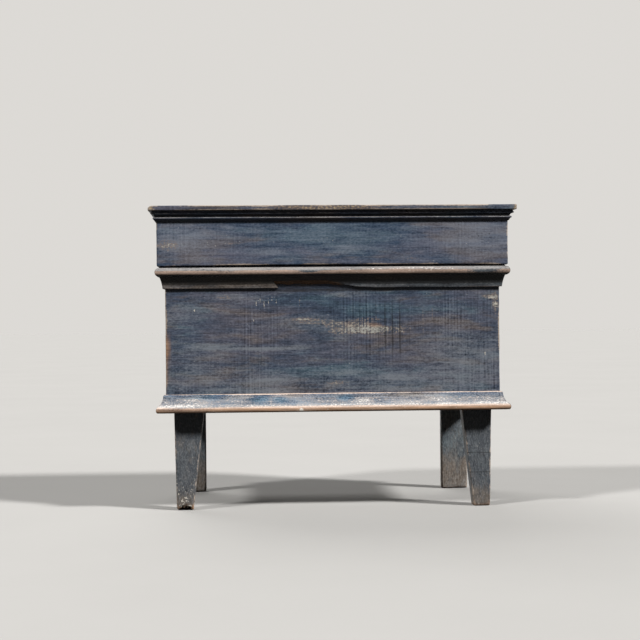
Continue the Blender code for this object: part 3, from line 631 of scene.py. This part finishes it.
class Nodes:
    """Short ways to build the node tree of one material, or of the world, from a recipe."""

    def __init__(self, owner, recipe=None, shader="Principled BSDF"):
        owner.use_nodes = True
        self.owner = owner
        self.recipe = recipe
        self.tree = owner.node_tree
        self.shader = self.tree.nodes[shader]
        self.parts = {"base": 1.0}

    @cached_property
    def place(self):
        return self.tree.nodes.new("ShaderNodeTexCoord").outputs["Object"]

    def put(self, socket, value):
        if isinstance(value, bpy.types.NodeSocket):
            self.tree.links.new(value, socket)
        elif socket.type == "RGBA":
            socket.default_value = (*value, 1.0)
        else:
            socket.default_value = value

    def math(self, operation, first, second=0.0):
        node = self.tree.nodes.new("ShaderNodeMath")
        node.operation = operation
        self.put(node.inputs[0], first)
        self.put(node.inputs[1], second)
        return node.outputs[0]

    def total(self, name, strength=None):
        """A sum of the recipe, where some parts may be stronger or weaker than it says."""
        result = 0.0
        for part, weight in self.recipe["sums"][name].items():
            if strength:
                weight *= strength.get(part, 1.0)
            result = self.math("ADD", result, self.math("MULTIPLY", self.parts[part], weight))
        return result

    def noise(self, scale, detail, roughness, distortion, shift):
        """Noise about 0, with so many features a metre along each axis."""
        stretch = self.tree.nodes.new("ShaderNodeVectorMath")
        stretch.operation = "MULTIPLY_ADD"
        self.put(stretch.inputs[0], self.place)
        stretch.inputs[1].default_value = scale
        stretch.inputs[2].default_value = [way * shift for way in SHIFT_WAYS]
        node = self.tree.nodes.new("ShaderNodeTexNoise")
        self.put(node.inputs["Vector"], stretch.outputs[0])
        node.inputs["Scale"].default_value = 1.0
        node.inputs["Detail"].default_value = detail
        node.inputs["Roughness"].default_value = roughness
        node.inputs["Distortion"].default_value = distortion
        return self.math("SUBTRACT", node.outputs[0], 0.5)

    def add_noise(self, axis="x", finer=None):
        """Adds every noise of the recipe to the parts, some kinds of it finer along and across the grain."""
        for part, (kind, length_wise, cross_wise, *details) in self.recipe["noise"].items():
            by_length, by_width = finer.get(kind, (1.0, 1.0)) if finer else (1.0, 1.0)
            scale = along(axis, length_wise * by_length, cross_wise * by_width)
            self.parts[part] = self.noise(scale, *details)

    def add_values(self, *names):
        """Adds values that the mesh carries in its points to the parts."""
        for name in names:
            node = self.tree.nodes.new("ShaderNodeAttribute")
            node.attribute_name = name
            self.parts[name] = node.outputs["Fac"]

    def ridges(self, axis, pitch, unevenness):
        """Rather even ridges about 0, across an axis, so many metres apart."""
        node = self.tree.nodes.new("ShaderNodeTexWave")
        node.bands_direction = axis.upper()
        self.put(node.inputs["Vector"], self.place)
        node.inputs["Scale"].default_value = math.tau / (WAVE_RATE * pitch)
        node.inputs["Distortion"].default_value = unevenness
        node.inputs["Detail"].default_value = RIDGE_DETAIL
        node.inputs["Detail Scale"].default_value = RIDGE_DETAIL_SCALE
        return self.math("SUBTRACT", node.outputs["Fac"], 0.5)

    def ramp(self, value, name):
        low, high, most = self.recipe["ramps"][name]
        node = self.tree.nodes.new("ShaderNodeMapRange")
        node.interpolation_type = "SMOOTHSTEP"
        self.put(node.inputs["Value"], value)
        node.inputs["From Min"].default_value = low
        node.inputs["From Max"].default_value = high
        node.inputs["To Max"].default_value = most
        return node.outputs["Result"]

    def mask(self, name, strength=None):
        """The sum of this name, on the ramp of the same name."""
        return self.ramp(self.total(name, strength), name)

    def mix(self, share, first, second):
        node = self.tree.nodes.new("ShaderNodeMix")
        node.data_type = "RGBA"
        for index, value in zip(MIX_INPUTS, (share, first, second)):
            self.put(node.inputs[index], value)
        return node.outputs[MIX_RESULT]

    def scaled(self, colour, factor):
        node = self.tree.nodes.new("ShaderNodeVectorMath")
        node.operation = "SCALE"
        self.put(node.inputs[0], colour)
        self.put(node.inputs["Scale"], factor)
        return node.outputs[0]

    def seen_directly(self):
        """1 for rays from the camera, a mirror or glass, and 0 for light that bounces."""
        rays = self.tree.nodes.new("ShaderNodeLightPath").outputs
        seen = rays["Is Camera Ray"]
        for name in ("Is Glossy Ray", "Is Transmission Ray"):
            seen = self.math("MAXIMUM", seen, rays[name])
        return seen

    def finish(self, colour, roughness, relief, shine):
        bump = self.tree.nodes.new("ShaderNodeBump")
        bump.inputs["Distance"].default_value = relief
        self.put(bump.inputs["Height"], self.total("height"))
        self.put(self.shader.inputs["Base Color"], colour)
        self.put(self.shader.inputs["Roughness"], roughness)
        self.put(self.shader.inputs["Normal"], bump.outputs[0])
        self.shader.inputs["Specular IOR Level"].default_value = shine
        return self.owner


def add_saw_marks(n, axis, saw):
    """Adds marks of a saw across the grain, clear in some places and worn away in others."""
    n.parts["saw_even"] = n.ridges(axis, SAW_PITCH, SAW_UNEVENNESS)
    n.parts["saw_clear"] = n.ramp(n.parts["saw_left"], "saw_clear")
    cut = n.math("MULTIPLY", n.total("saw_marks"), n.total("saw_depth"))
    n.parts["kerfs"] = n.math("MULTIPLY", cut, saw)


def old_paint(name, axis, colours, pale, edge_colour, saw=0.0, gloss=0.0, blotches=(1.0, 1.0), coarse=1.0,
              fine=1.0, grit=1.0):
    """Blue paint brushed along the grain, rubbed thin on high spots and gone from the edges."""
    n = Nodes(bpy.data.materials.new(name), PAINT_RECIPE)
    n.add_noise(axis, {"blotch": blotches, "stroke": (blotches[0], 1.0), "grit": (grit, grit)})
    n.add_values(*PAINT_VALUES)
    add_saw_marks(n, axis, saw)
    strength = {"drift": coarse, "hue": coarse, "smudges": coarse,
                "strokes": fine, "brush": fine, "flecks": fine}

    colour = n.mix(n.mask("plum"), colours["navy"], colours["plum"])
    colour = n.mix(n.mask("teal"), colour, colours["teal"])
    colour = n.mix(n.mask("umber"), colour, colours["umber"])
    colour = n.scaled(colour, n.total("light", strength))
    colour = n.mix(n.mask("haze", strength), colour, colours["haze"])

    rub = n.math("MULTIPLY", n.parts["worn"], n.total("broken_up"))
    colour = n.mix(n.ramp(rub, "undercoat"), colour, UNDERCOAT)
    thin = n.ramp(rub, "thin")
    colour = n.mix(thin, colour, n.scaled(pale, n.total("pale_tint")))
    gone = n.mask("gone")
    colour = n.mix(gone, colour, n.scaled(edge_colour, n.total("edge_tint")))
    bare_wood = n.scaled(colours.get("bare", BROKEN_WOOD), n.total("bare_tint"))
    colour = n.mix(n.parts["bare"], colour, bare_wood)
    colour = n.mix(n.mask("chips"), colour, colours.get("chip", CHIP))
    # Near-black where the hollow value is high: dirt in creases, and painted shade in the mouldings' coves
    # and under the rim moulding
    colour = n.mix(n.mask("grime_and_shade"), colour, GRIME_AND_SHADE)

    n.parts["lost"] = n.math("MAXIMUM", n.math("MAXIMUM", thin, gone), n.parts["bare"])
    roughness = n.math("SUBTRACT", n.total("roughness"), gloss)
    return n.finish(colour, roughness, PAINT_RELIEF, PAINT_SHINE)


def bare_pine(name, axis):
    """Old unpainted pine, darkened by age, with growth rings and stains."""
    n = Nodes(bpy.data.materials.new(name), PINE_RECIPE)
    n.add_noise(axis)
    n.add_values("hollow", "edge")
    n.parts["stain"] = n.mask("stain")
    colour = n.mix(n.mask("dark"), PINE, PINE_DARK)
    colour = n.mix(n.math("MULTIPLY", n.parts["stain"], PINE_STAINED), colour, PINE_STAIN)
    colour = n.scaled(colour, n.total("light"))
    return n.finish(colour, n.total("roughness"), WOOD_RELIEF, WOOD_SHINE)


def old_iron(name):
    """Dark hammered iron with rust in patches."""
    n = Nodes(bpy.data.materials.new(name), IRON_RECIPE)
    n.add_noise()
    n.parts["rust"] = n.mask("rust")
    colour = n.scaled(n.mix(n.parts["rust"], IRON, RUST), n.total("light"))
    n.put(n.shader.inputs["Metallic"], n.total("metal"))
    return n.finish(colour, n.total("roughness"), IRON_RELIEF, IRON_SHINE)


def new_object(name, data):
    thing = bpy.data.objects.new(name, data)
    bpy.context.scene.collection.objects.link(thing)
    return thing


def spread(low, high, cell, extra=()):
    """Even places between two ends, with closer ones near the ends and any that are asked for."""
    count = max(1, round((high - low) / cell))
    places = [low + (high - low) * i / count for i in range(1, count)]
    places += [low + cut for cut in EDGE_CUTS] + [high - cut for cut in EDGE_CUTS] + list(extra)
    kept = []
    for place in sorted(places):
        if low + LEAST_CELL < place < high - LEAST_CELL:
            if not kept or place - kept[-1] > LEAST_CELL:
                kept.append(place)
    return kept


def slice_across(bm, axis, places):
    """Cuts every face by planes square to an axis, at rising places."""
    normal = Vector((0.0, 0.0, 0.0))
    normal[axis] = 1.0
    rest = bm.faces[:]
    for place in places:
        points = list(dict.fromkeys(v for face in rest for v in face.verts))
        edges = list(dict.fromkeys(e for face in rest for e in face.edges))
        cut = bmesh.ops.bisect_plane(bm, geom=points + edges + rest, dist=MERGE,
                                     plane_co=normal * place, plane_no=normal)
        faces = [g for g in cut["geom"] if isinstance(g, bmesh.types.BMFace)]
        rest = [face for face in faces if face.calc_center_median()[axis] > place]


def refined(node, cells, extra=None):
    """A bmesh of a CAD node's shape, with its faces cut to about these cell sizes."""
    bm = bmesh.new()
    bm.from_mesh(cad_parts[node].data)
    bmesh.ops.remove_doubles(bm, verts=bm.verts, dist=MERGE)
    bmesh.ops.dissolve_limit(bm, angle_limit=FLAT_TURN, verts=bm.verts, edges=bm.edges)
    low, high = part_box(node)
    for axis, cell in enumerate(cells):
        if cell:
            more = extra.get(axis, ()) if extra else ()
            slice_across(bm, axis, spread(low[axis], high[axis], cell, more))
    bmesh.ops.recalc_face_normals(bm, faces=bm.faces)
    bm.normal_update()
    bm.verts.ensure_lookup_table()
    return bm


def nearness(bm, points, wanted, fade):
    """How near each point lies to the wanted edges, from 1 on them down to 0, and how far it is off."""
    found = [edge for edge in bm.edges if len(edge.link_faces) == 2 and wanted(edge)]
    if not found:
        return np.zeros(len(points)), np.full(len(points), np.inf)
    tree = kdtree.KDTree(2 * len(found))
    for i, edge in enumerate(found):
        first, second = (v.co for v in edge.verts)
        tree.insert(first, 2 * i)
        tree.insert((first + second) / 2, 2 * i + 1)
    tree.balance()
    gap = np.array([tree.find(point)[2] for point in points])
    return np.exp(-gap / fade), gap


def swing(points, name):
    """Named noise at each point, smooth and about 0."""
    amount, length, shift, stretch = SWINGS[name]
    offset = Vector([way * shift for way in SHIFT_WAYS])
    return amount * np.array([noise.noise(Vector(point) / length + offset) for point in points * stretch])


def patches(points, spots):
    """Sum of soft spots on a board's front."""
    amount = np.zeros(len(points))
    for x, z, half_length, half_height, strength in spots:
        reach = ((points[:, 0] - x) / half_length) ** 2 + ((points[:, 2] - z) / half_height) ** 2
        amount += strength * np.exp(-(reach ** SPOT_STEEPNESS))
    return amount


def smooth_step(values, low, high):
    share = np.clip((values - low) / (high - low), 0.0, 1.0)
    return share * share * (3.0 - 2.0 * share)


def wear_down(points, normals, arris_gap, foot, wear):
    """How far each point is worn in along its normal: arrises, slow waves and dents."""
    ease = np.clip(1.0 - arris_gap / ARRIS_REACH, 0.0, 1.0) ** 2
    rub = RUB_MEAN + swing(points, "arris_long") + swing(points, "arris_short")
    loss = wear * ARRIS_LOSS * ease * np.clip(rub, 0.0, RUB_MOST)
    if foot:
        low = 1.0 - smooth_step(points[:, 2], 0.0, FOOT_HEIGHT)
        loss *= 1.0 + FOOT_LOSS * low
    waves = WAVE_DEPTH * (0.5 + swing(points, "wave"))
    dents = DENT_DEPTH * np.clip(swing(points, "dent") - DENT_LEVEL, 0.0, None)
    return normals * (loss + waves + dents)[:, None]


def build_piece(node, cells, materials, body, inside=None, values=None, extra=None, foot=False,
                shape=None, wear=1.0):
    """A worn copy of a CAD node, with its paint values, riding where the node rides."""
    bm = refined(node, cells, extra)
    for face in bm.faces:
        face.smooth = True
        if inside and inside(face.normal, face.calc_center_median()):
            face.material_index = 1
    points = np.array([v.co for v in bm.verts])
    normals = np.array([v.normal for v in bm.verts])
    edge, gap = nearness(bm, points, lambda e: e.calc_face_angle_signed() > ARRIS_TURN, EDGE_FADE)
    hollow, _ = nearness(bm, points, lambda e: e.calc_face_angle_signed() < -ARRIS_TURN, HOLLOW_FADE)
    paint = {"edge": edge, "hollow": hollow}
    paint.update(values(points, normals, paint) if values else {})
    moved = points - wear_down(points, normals, gap, foot, wear)
    if shape:
        moved = shape(moved, normals, paint)
    for vert, place in zip(bm.verts, moved):
        vert.co = place
    mesh = bpy.data.meshes.new(f"{node}_worn")
    bm.to_mesh(mesh)
    bm.free()
    for name in PAINT_VALUES:
        layer = mesh.attributes.new(name, "FLOAT", "POINT")
        layer.data.foreach_set("value", np.asarray(paint.get(name, np.zeros(len(points))), np.float32))
    mesh.set_sharp_from_angle(angle=SMOOTH_TURN)
    for material in materials:
        mesh.materials.append(material)
    piece = new_object(f"{node}_worn", mesh)
    level = piece.modifiers.new("flat_faces", "WEIGHTED_NORMAL")
    level.keep_sharp = True
    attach(piece, body)
    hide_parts(node)


def faces(axis, way):
    """Picks the faces of a board that look along an axis, one way or the other."""
    return lambda normal, place: normal[axis] * way > FACING


def broken_edge(points, paint):
    """The edge value, stronger in some stretches of an arris and almost none in others."""
    return paint["edge"] * np.clip(EDGE_MEAN + swing(points, "edge_paint"), *EDGE_RANGE)


def front_values(wear, dust, tone, scratches=(), chips=(), sawn=(), bare=(), edge_amount=1.0):
    """Paint values for a board whose front shows chosen worn spots, scratches and chips."""
    def values(points, normals, paint):
        front = smooth_step(-normals[:, 1], *FRONT_TURN)
        rest = np.clip(swing(points, "unseen_wear"), 0.0, None) * (1.0 - front)
        pale = [scratch for scratch in scratches if scratch[-1] > 0]
        dark = [(*scratch[:-1], -scratch[-1]) for scratch in scratches if scratch[-1] < 0]
        return {"worn": (patches(points, wear) + patches(points, pale)) * front + rest,
                "dust": patches(points, dust) * front + rest,
                "tone": patches(points, tone) * front,
                "chip": patches(points, chips) * front,
                "sawn": patches(points, sawn) * front,
                "bare": patches(points, bare) * front,
                "hollow": np.maximum(paint["hollow"], patches(points, dark) * front),
                "edge": edge_amount * broken_edge(points, paint)}
    return values


def board_values(points, normals, paint):
    """Paint values for a board that the front view doesn't show."""
    return {"worn": BOARD_WEAR * np.clip(swing(points, "board_wear") - BOARD_WEAR_LEVEL, 0.0, None),
            "tone": swing(points, "board_tone"),
            "edge": broken_edge(points, paint)}


def cuts_through(across, up=()):
    """Places for cuts through small marks, along the board and up it."""
    return {0: [x + share * width for x, _, width, _, _ in across for share in MARK_CUTS],
            2: [z + share * height for _, z, _, height, _ in up for share in MARK_CUTS]}


def bowed_edge(points, normals, paint):
    """Wears the lower edge of a rail hollow towards its middle."""
    low, half = points[:, 2].min(), points[:, 0].max()
    near = np.clip(1.0 - (points[:, 2] - low) / BOW_REACH, 0.0, 1.0) ** 2
    rise = BOW_RISE * (1.0 - (points[:, 0] / half) ** 2)
    rise += BOW_WAVE * (0.5 + swing(points, "rail_edge"))
    points[:, 2] += near * np.clip(rise, 0.0, None)
    return points


def rounded_end(points, normals, paint):
    """Wears the upper corner off the left end of a board, towards its front."""
    left, low = points[:, 0].min(), points[:, 2].min()
    share = np.clip(1.0 - (points[:, 0] - left) / END_LENGTH, 0.0, 1.0)
    front = 1.0 - smooth_step(points[:, 1] - points[:, 1].min(), *END_DEPTHS)
    points[:, 2] = low + (points[:, 2] - low) * np.sqrt(1.0 - END_LOSS * front * share ** 2)
    return points


def build_boards():
    paint_x = old_paint("old_paint_x", "x", BOARD_COLOURS, PALE, TAN, saw=0.75)
    paint_y = old_paint("old_paint_y", "y", BOARD_COLOURS, PALE, TAN, saw=0.5)
    lid_paint = old_paint("lid_paint_x", "x", LID_COLOURS, PALE, TAN, saw=0.4, coarse=0.8, fine=0.75)
    pine_x = bare_pine("bare_pine_x", "x")
    pine_y = bare_pine("bare_pine_y", "y")
    long_cells = (BOARD_CELL, THICKNESS_CELL, BOARD_CELL)
    side_cells = (THICKNESS_CELL, BOARD_CELL, BOARD_CELL)
    flat_cells = (BOARD_CELL, BOARD_CELL, THICKNESS_CELL)
    case_values = front_values(CASE_WEAR, CASE_DUST, CASE_TONE, CASE_SCRATCHES + CASE_PAINTED_SHADOW, CASE_CHIPS,
                               CASE_SAWN, CASE_BARE)
    lid_values = front_values(LID_WEAR, LID_DUST, LID_TONE, LID_PITS, sawn=LID_SAWN)
    case_cuts = cuts_through(CASE_SCRATCHES + CASE_CHIPS, CASE_CHIPS + CASE_PAINTED_SHADOW)
    lid_cuts = cuts_through(LID_PITS, LID_PITS)
    long_boards = (  # node, body, way to the inside, paint and its values, cuts for small marks, shape
        ("case_front_board", "case", 1, paint_x, case_values, case_cuts, None),
        ("case_back_board", "case", -1, paint_x, board_values, None, None),
        ("lid_front_rail", "lid", 1, lid_paint, lid_values, lid_cuts, bowed_edge),
        ("lid_back_rail", "lid", -1, lid_paint, board_values, None, None),
    )
    for node, body, inward, paint, values, cuts, shape in long_boards:
        build_piece(node, long_cells, (paint, pine_x), body, faces(AXES["y"], inward), values,
                    extra=cuts, shape=shape)
    side_boards = (("case_left_side", "case", 1), ("case_right_side", "case", -1),
                   ("lid_left_rail", "lid", 1), ("lid_right_rail", "lid", -1))
    for node, body, inward in side_boards:
        build_piece(node, side_cells, (paint_y, pine_y), body, faces(AXES["x"], inward),
                    board_values)
    inner_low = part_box("lid_left_rail")[1].x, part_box("lid_front_rail")[1].y
    inner_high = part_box("lid_right_rail")[0].x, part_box("lid_back_rail")[0].y

    def under_lid(normal, place):
        within = inner_low[0] < place.x < inner_high[0] and inner_low[1] < place.y < inner_high[1]
        return normal.z < -FACING and within

    top_paint = old_paint("top_paint_x", "x", BOARD_COLOURS, TOP_TAN, TAN, saw=0.6)
    top_values = front_values(TOP_WEAR, TOP_DUST, TOP_TONE, TOP_GRIME, edge_amount=1.1)
    for node, shape in (("lid_top_front_board", rounded_end), ("lid_top_rear_board", None)):
        build_piece(node, flat_cells, (top_paint, pine_x), "lid", under_lid, top_values,
                    shape=shape, wear=TOP_EDGE_WEAR)
    for node in ("bottom_front_board", "bottom_rear_board", "bottom_cleat_front", "bottom_cleat_back"):
        build_piece(node, flat_cells, (pine_x,), "case")


def moulding_values(bands, low_z, end_wear, spots):
    """Paint values for a moulding, in bands up its profile and in spots."""
    def values(points, normals, paint):
        height = points[:, 2] - low_z
        patchy = 1.0 + swing(points, "run_wear")
        ends = patchy + end_wear * smooth_step(np.abs(points[:, 0]), *END_WEAR_SPAN)
        found = {"tone": swing(points, "run_tone"), "hollow": np.zeros(len(points))}
        for value, start, end, amount in bands:
            inside = smooth_step(height, start - BAND_SOFTNESS, start + BAND_SOFTNESS)
            inside *= 1.0 - smooth_step(height, end - BAND_SOFTNESS, end + BAND_SOFTNESS)
            spread_out = ends if value in ("worn", "dust") else patchy
            found[value] = np.maximum(found.get(value, 0.0), amount * inside * spread_out)
        for value, places in spots.items():
            found[value] = found.get(value, 0.0) + patches(points, places)
        return found
    return values


def break_shape(low_z, back_y):
    """Splinters the broken lower edge: its raw face slopes down to the case, in long fibres of bare wood."""
    def shape(points, normals, paint):
        within = (points[:, 0] > BREAK_SPAN[0]) & (points[:, 0] < BREAK_SPAN[1])
        raw = within & (normals[:, 2] < RAW_DOWN) & (np.abs(normals[:, 1]) < RAW_LEVEL)
        raw &= (points[:, 2] > low_z + BREAK_LIP) & (points[:, 2] < low_z + BREAK_TOP)
        bins = np.floor((points[:, 0] - BREAK_SPAN[0]) / BREAK_BIN).astype(int)
        crest = {i: points[raw & (bins == i), 2].max() for i in set(bins[raw])}
        torn = np.array([crest.get(i, 0.0) for i in bins]) + TORN_EDGE - points[:, 2]
        fibres = swing(points, "fibres")
        lift = SPLINTER_DEPTH * np.clip(LIFT_MEAN + fibres, 0.0, 1.0)
        back = points[:, 1] > back_y - BACK_STRIP
        drop = np.minimum(SPLINTER_DROP * (DROP_MEAN + fibres), points[:, 2] - low_z - BREAK_LIP)
        points[:, 2] += np.where(raw, np.where(back, -drop, lift), 0.0)
        torn_right = 1.0 - smooth_step(points[:, 0], *TORN_END)
        torn_edge = smooth_step(points[:, 0], *TORN_START) * smooth_step(torn, 0.0, TORN_FADE)
        paint["bare"] = torn_right * np.where(raw, 1.0, within * torn_edge)
        paint["edge"] = np.where(raw, 0.0, paint["edge"])
        rise = TAPER_RISE * np.interp(points[:, 0], TAPER_PLACES, (0.0, 1.0, 0.0))
        points[:, 2] += rise * np.clip(1.0 - (points[:, 2] - low_z) / TAPER_REACH, 0.0, 1.0)
        return points
    return shape


def build_mouldings():
    families = (  # stem of the nodes, body, colours, colour of the edges, gloss, wear at the ends, fineness
        ("base_moulding", "case", BASE_COLOURS, PINK_TAN, 0.08, END_WEAR, 1.6),
        ("rim_moulding", "case", RIM_COLOURS, BEAD_TAN, 0.06, 0.0, 1.2),
        ("lid_moulding", "lid", BOARD_COLOURS, BEAD_GREY, 0.0, 0.0, 1.0),
    )
    cells = {"x": (RUN_CELL, 0.0, PROFILE_CELL), "y": (0.0, RUN_CELL, PROFILE_CELL)}
    for stem, body, colours, tan, gloss, end_wear, fine in families:
        paints = {axis: old_paint(f"{stem}_paint_{axis}", axis, colours, DUSTY, tan, gloss=gloss, fine=fine,
                                  grit=fine)
                  for axis in "xy"}
        for run, axis in (("front", "x"), ("left", "y"), ("right", "y")):
            node = f"{stem}_{run}"
            low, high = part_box(node)
            extra, shape, spots = None, None, {}
            run_wear = end_wear if run == "front" else 0.0
            if node == "base_moulding_front":
                spots = BASE_SPOTS
                extra = cuts_through(spots["chip"])
            if node == "rim_moulding_front":
                spots = RIM_SPOTS
                count = round((BREAK_SPAN[1] - BREAK_SPAN[0]) / BREAK_CELL)
                step = (BREAK_SPAN[1] - BREAK_SPAN[0]) / count
                extra = {0: [BREAK_SPAN[0] + step * i for i in range(count)]}
                shape = break_shape(low.z, high.y)
            build_piece(node, cells[axis], (paints[axis],), body,
                        values=moulding_values(PROFILE_BANDS[stem], low.z, run_wear, spots), extra=extra,
                        shape=shape, wear=MOULDING_WEAR)


def leg_values(flakes, raw, brown, scratches):
    """Paint values for a leg: white flakes and raw corners near the floor, and brown paint below blue."""
    flake_height, flake_amount = flakes
    brown_amount, brown_span, floor_dust = brown

    def values(points, normals, paint):
        height = points[:, 2]
        low = 1.0 - smooth_step(height, 0.0, flake_height)
        lowest = 1.0 - smooth_step(height, *FLOOR_DUST_SPAN)
        spots = np.clip(swing(points, "flakes") - FLAKE_LEVEL, 0.0, 1.0)
        below = 1.0 - smooth_step(height, flake_height, FLAKE_FADE * flake_height)
        edge_flakes = EDGE_FLAKES * paint["edge"] * below
        corner = smooth_step(paint["edge"] + swing(points, "raw_edge"), *RAW_EDGE)
        corner *= 1.0 - smooth_step(height, *RAW_SPAN)
        scratched = sum(SCRATCH_DARK * np.exp(-((height - z) / SCRATCH_HEIGHT) ** 2) for z in scratches)
        dust = np.clip(swing(points, "leg_dust"), 0.0, None) + LOW_DUST * low + LEG_DUST
        blue = BLUE_RISE * smooth_step(height, *brown_span) - BROWN_MOST
        return {"worn": LEG_WORN * low * spots,
                "dust": dust + floor_dust * lowest,
                "tone": swing(points, "leg_tone") + brown_amount * blue,
                "chip": LEG_CHIP + flake_amount * spots * np.maximum(low, edge_flakes),
                "edge": LEG_EDGE * paint["edge"] * (1.0 + swing(points, "leg_edge")),
                "hollow": np.maximum(paint["hollow"], scratched),
                "bare": raw * corner}
    return values


def ragged_foot(points, normals, paint):
    """Breaks splinters out of the middle of a foot, from its front."""
    foot = points[points[:, 2] < RAGGED_HEIGHT]
    middle = (foot[:, 0].min() + foot[:, 0].max()) / 2
    half = (foot[:, 0].max() - foot[:, 0].min()) / 2
    inner = 1.0 - smooth_step(np.abs(points[:, 0] - middle) / half, *RAGGED_MIDDLE)
    front = 1.0 - smooth_step(points[:, 1] - points[:, 1].min(), *RAGGED_DEPTHS)
    near = 1.0 - smooth_step(points[:, 2], 0.0, RAGGED_HEIGHT)
    bites = np.clip(BITE_MEAN + swing(points, "bites"), 0.0, 1.0) * inner * front * near
    points[:, 2] += RAGGED_LOSS * bites
    paint["hollow"] = np.maximum(paint["hollow"], BITE_GRIME * bites)
    return points


def build_legs():
    families = (  # colours, and the amount, heights and floor dust of the brown paint
        ("front", LEG_COLOURS, (0.80, (0.010, 0.070), 0.0)),
        ("rear", REAR_LEG_COLOURS_WITH_PAINTED_LIGHT, (1.0, (0.030, 0.150), 0.9)),
    )
    for stem, colours, brown in families:
        paint = old_paint(f"{stem}_leg_paint", "z", colours, PALE, TAN, blotches=(4.0, 1.8), coarse=0.55,
                          grit=1.1)
        for side in ("left", "right"):
            node = f"{stem}_{side}_leg"
            low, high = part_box(node)
            flakes, raw, scratches, extra, shape = LEG_FLAKES, LEG_RAW, (), None, None
            if node == "front_left_leg":
                flakes, raw, shape = RAGGED_FLAKES, RAGGED_RAW, ragged_foot
                count = round((high.x - low.x) / RAGGED_CELL)
                extra = {0: [low.x + RAGGED_CELL * i for i in range(count)],
                         2: [RAGGED_CELL * i for i in range(round(RAGGED_HEIGHT / RAGGED_CELL))]}
            if node == "front_right_leg":
                scratches = LEG_SCRATCHES
                extra = {2: [z + share * SCRATCH_HEIGHT for z in scratches for share in MARK_CUTS]}
            build_piece(node, (LEG_CELL, LEG_CELL, LEG_CELL), (paint,), "case",
                        values=leg_values(flakes, raw, brown, scratches), extra=extra, foot=True,
                        shape=shape, wear=LEG_WEAR)


def dress_iron():
    iron = old_iron("old_iron")
    for node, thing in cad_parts.items():
        if "hinge" in node or "nail" in node:
            thing.data.materials.clear()
            thing.data.materials.append(iron)


def build_camera():
    right = Vector((math.cos(CAMERA_YAW), math.sin(CAMERA_YAW), 0.0))
    ahead = Vector((-math.sin(CAMERA_YAW), math.cos(CAMERA_YAW), 0.0))
    up = Vector((0.0, 0.0, 1.0))
    rolled_right = math.cos(CAMERA_ROLL) * right + math.sin(CAMERA_ROLL) * up
    rolled_up = math.cos(CAMERA_ROLL) * up - math.sin(CAMERA_ROLL) * right
    turn = Matrix((rolled_right, rolled_up, -ahead)).transposed()
    data = bpy.data.cameras.new("camera")
    data.sensor_width = SENSOR_WIDTH
    data.lens = SENSOR_WIDTH * CAMERA_FOCAL_SHARE
    camera = new_object("camera", data)
    camera.matrix_world = Matrix.Translation(CAMERA_PLACE) @ turn.to_4x4()
    bpy.context.scene.camera = camera


def build_lamps():
    for name, direction, strength, angle in LAMPS:
        data = bpy.data.lights.new(name, "SUN")
        data.energy = strength
        data.angle = angle
        lamp = new_object(name, data)
        lamp.rotation_mode = "QUATERNION"
        lamp.rotation_quaternion = direction.to_track_quat("Z", "Y")


def build_floor():
    n = Nodes(bpy.data.materials.new("pale_floor"), FLOOR_RECIPE)
    n.add_noise()
    seen = n.scaled(FLOOR_COLOUR, n.total("light"))
    n.put(n.shader.inputs["Base Color"], n.mix(n.seen_directly(), FLOOR_BOUNCE, seen))
    n.shader.inputs["Roughness"].default_value = FLOOR_ROUGHNESS
    n.shader.inputs["Specular IOR Level"].default_value = 0.0
    bm = bmesh.new()
    bmesh.ops.create_circle(bm, cap_ends=True, segments=FLOOR_SIDES, radius=FLOOR_RADIUS)
    mesh = bpy.data.meshes.new("floor")
    bm.to_mesh(mesh)
    bm.free()
    mesh.materials.append(n.owner)
    floor = new_object("floor", mesh)


def build_world():
    world = bpy.data.worlds.new("studio")
    bpy.context.scene.world = world
    n = Nodes(world, shader="Background")
    dim = (WORLD_STRENGTH, WORLD_STRENGTH, WORLD_STRENGTH)
    n.put(n.shader.inputs["Color"], n.mix(n.seen_directly(), dim, BACKGROUND))
    bpy.context.scene.view_settings.view_transform = "Standard"


build_boards()
build_mouldings()
build_legs()
dress_iron()
build_camera()
build_lamps()
build_floor()
build_world()
